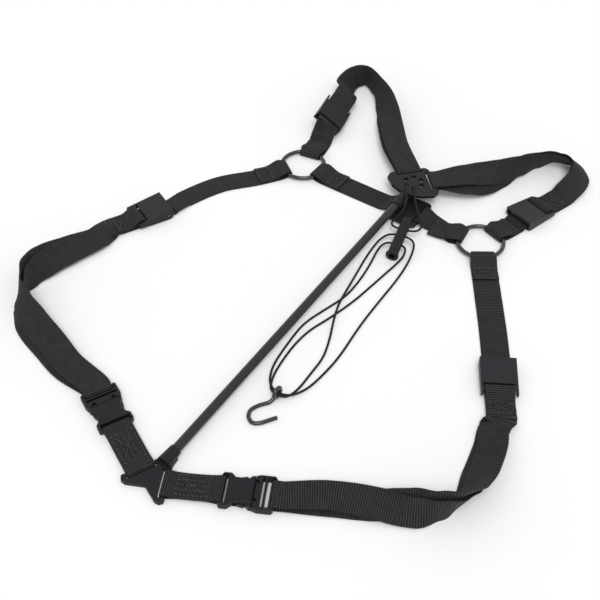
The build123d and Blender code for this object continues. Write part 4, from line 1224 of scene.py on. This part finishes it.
def straps() -> list[AdjustableStrap]:
    """The four adjustable straps with their sizes.

    Returns:
        The straps.
    """
    return [
        AdjustableStrap(
            Loop.WAIST_LEFT, RING_LEFT, -126.0, [(-171.0, 312.0), (-186.0, 276.0)],
            Vector((-199.5, 236.5, 0.0)), -115.0, 0.0, Vector((-90.992, 38.781, 3.9)), Vector((-0.8949, 0.4462, 0.0)),
            [(-216, 179, 0, -14, 3.4, 2), (-224, 151, 0, -25, 3.8, 5), (-229, 126, 0, -42, 3.8, 6),
             (-228, 104, 0, -72, 3.6, 6), (-220, 84, 0, -102, 3.6, 6), (-206, 70, 0, -132, 3.6, 7),
             (-186, 61, 0, -157, 3.6, 7), (-158, 53, 0, -168, 3.6, 6), (-131, 45, 0, -174, 3.6, 4)],
            flat_length=0.747,
        ),
        AdjustableStrap(
            Loop.WAIST_RIGHT, RING_RIGHT, -57.0, [(127.0, 320.0), (150.0, 283.5)],
            Vector((178.2, 235.6, 0.0)), -60.0, 0.0, Vector((87.412, 36.996, 3.9)), Vector((0.8949, 0.4462, 0.0)),
            [(198, 187, 0, 10, 2.6, 1), (204, 168, 0, 17, 2.8, 4), (209, 142, 0, 24, 3.2, 7),
             (212, 119, 0, 40, 3.6, 8), (211, 104, 0, 70, 3.6, 8), (201, 92, 0, 92, 3.6, 8),
             (184, 80, 0, 124, 3.6, 6), (156, 71, 0, 158, 3.6, -1), (125, 58, 0, 172, 3.6, -4)],
            flat_length=0.712,
        ),
        AdjustableStrap(
            Loop.SHOULDER_LEFT, RING_LEFT, 100.0, [(-125.2, 433.5)],
            Vector((-129.0, 462.0, 16.8)), 102.0, -145.0, Vector((-13.789, 419.289, 16.35)), Vector((-0.7071, 0.7071, 0.0)),
            [(-147, 513, 4, -142, 2.6, 0), (-150, 529, 1, -124, 2.6, 0), (-147, 540, 0, -106, 2.6, 0),
             (-139, 545, 0, -94, 2.8, 1), (-118, 533, 0, -104, 3.0, 3), (-93, 509, 3, -140, 3.2, 3),
             (-71, 481, 9, -172, 3.8, 2), (-48, 452, 11, -180, 4.4, 2)],
            sewn=14.0, flat_length=0.592,
        ),
        AdjustableStrap(
            Loop.SHOULDER_RIGHT, RING_RIGHT, 70.8, [],
            Vector((111.0, 443.2, 0.0)), 70.5, 0.0, Vector((13.789, 419.289, 16.35)), Vector((0.7071, 0.7071, 0.0)),
            [(128, 491, 0, 18, 2.6, 0), (130, 516, 0, 36, 2.8, 0), (119, 531, 0, 44, 3.0, 0),
             (102, 530, 0, 52, 3.0, 0), (88, 515, 0, 72, 3.0, 0), (76, 494, 0, 96, 3.2, -2),
             (65, 471, 0, 124, 3.6, -5), (53, 453, 3, 148, 4.0, -9), (40, 441, 8, 166, 4.6, -9)],
            sewn=14.0, flat_length=0.541,
        ),
    ]


def main() -> None:
    """Builds the harness and its studio."""
    logging.basicConfig(level=logging.INFO, format="%(name)s: %(message)s")
    web = WEBBING.build()
    thread = THREAD.build()
    braid = CORD_BRAID.build()
    hard = (CHARCOAL, GREY_LID, ROD_FINISH, RING_ENAMEL, HOOK_ENAMEL, DARK_STEEL)
    Hardware(*(finish.build() for finish in hard)).build()
    for strap in straps():
        strap.build(web, thread)
    CrossStrap(RING_LEFT, RING_RIGHT, Vector((8.8, 381.0, 0.0))).build(web, thread)
    StitchedTab(Side.LEFT, Vector((-12.595, -0.306, 3.212)), 153.5, 47.0).build(web, thread)
    StitchedTab(Side.RIGHT, Vector((12.595, -0.306, 3.212)), 26.5, 43.0).build(web, thread)
    under = knots("plate_stoppers", [(Vector((x, 398.14, 12.85)), 2.3, 0.85, 1.5) for x in (-4.25, 4.25)], braid)
    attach(under, "harness")
    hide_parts("plate_knots")
    joined = knots("joining_knot", [(Vector((26.5, 327.9, 8.15)), 2.0, 0.8, 1.6)], braid)
    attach(joined, "harness")
    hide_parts("slider_knot")
    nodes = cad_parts
    neck = CordRun("neck_cord_run", "neck_cord", NECK_ROUTE, 153.0, (-4.3, 398.1, 18.1), "knot")
    neck.build(braid, [under, nodes["cord_slider"]])
    hanging = CordRun("hook_cord_run", "hook_cord", HOOK_ROUTE, 947.0, (31.0, 329.0, 8.1), "knot")
    hanging.build(braid, [joined, nodes["hook"]])
    studio = Studio(Vector((342.4, -307.0, 660.4)), Vector((-13.0, 222.5, 0.0)))
    studio.floor()
    studio.lights()
    studio.camera()


if __name__ == "__main__":
    main()
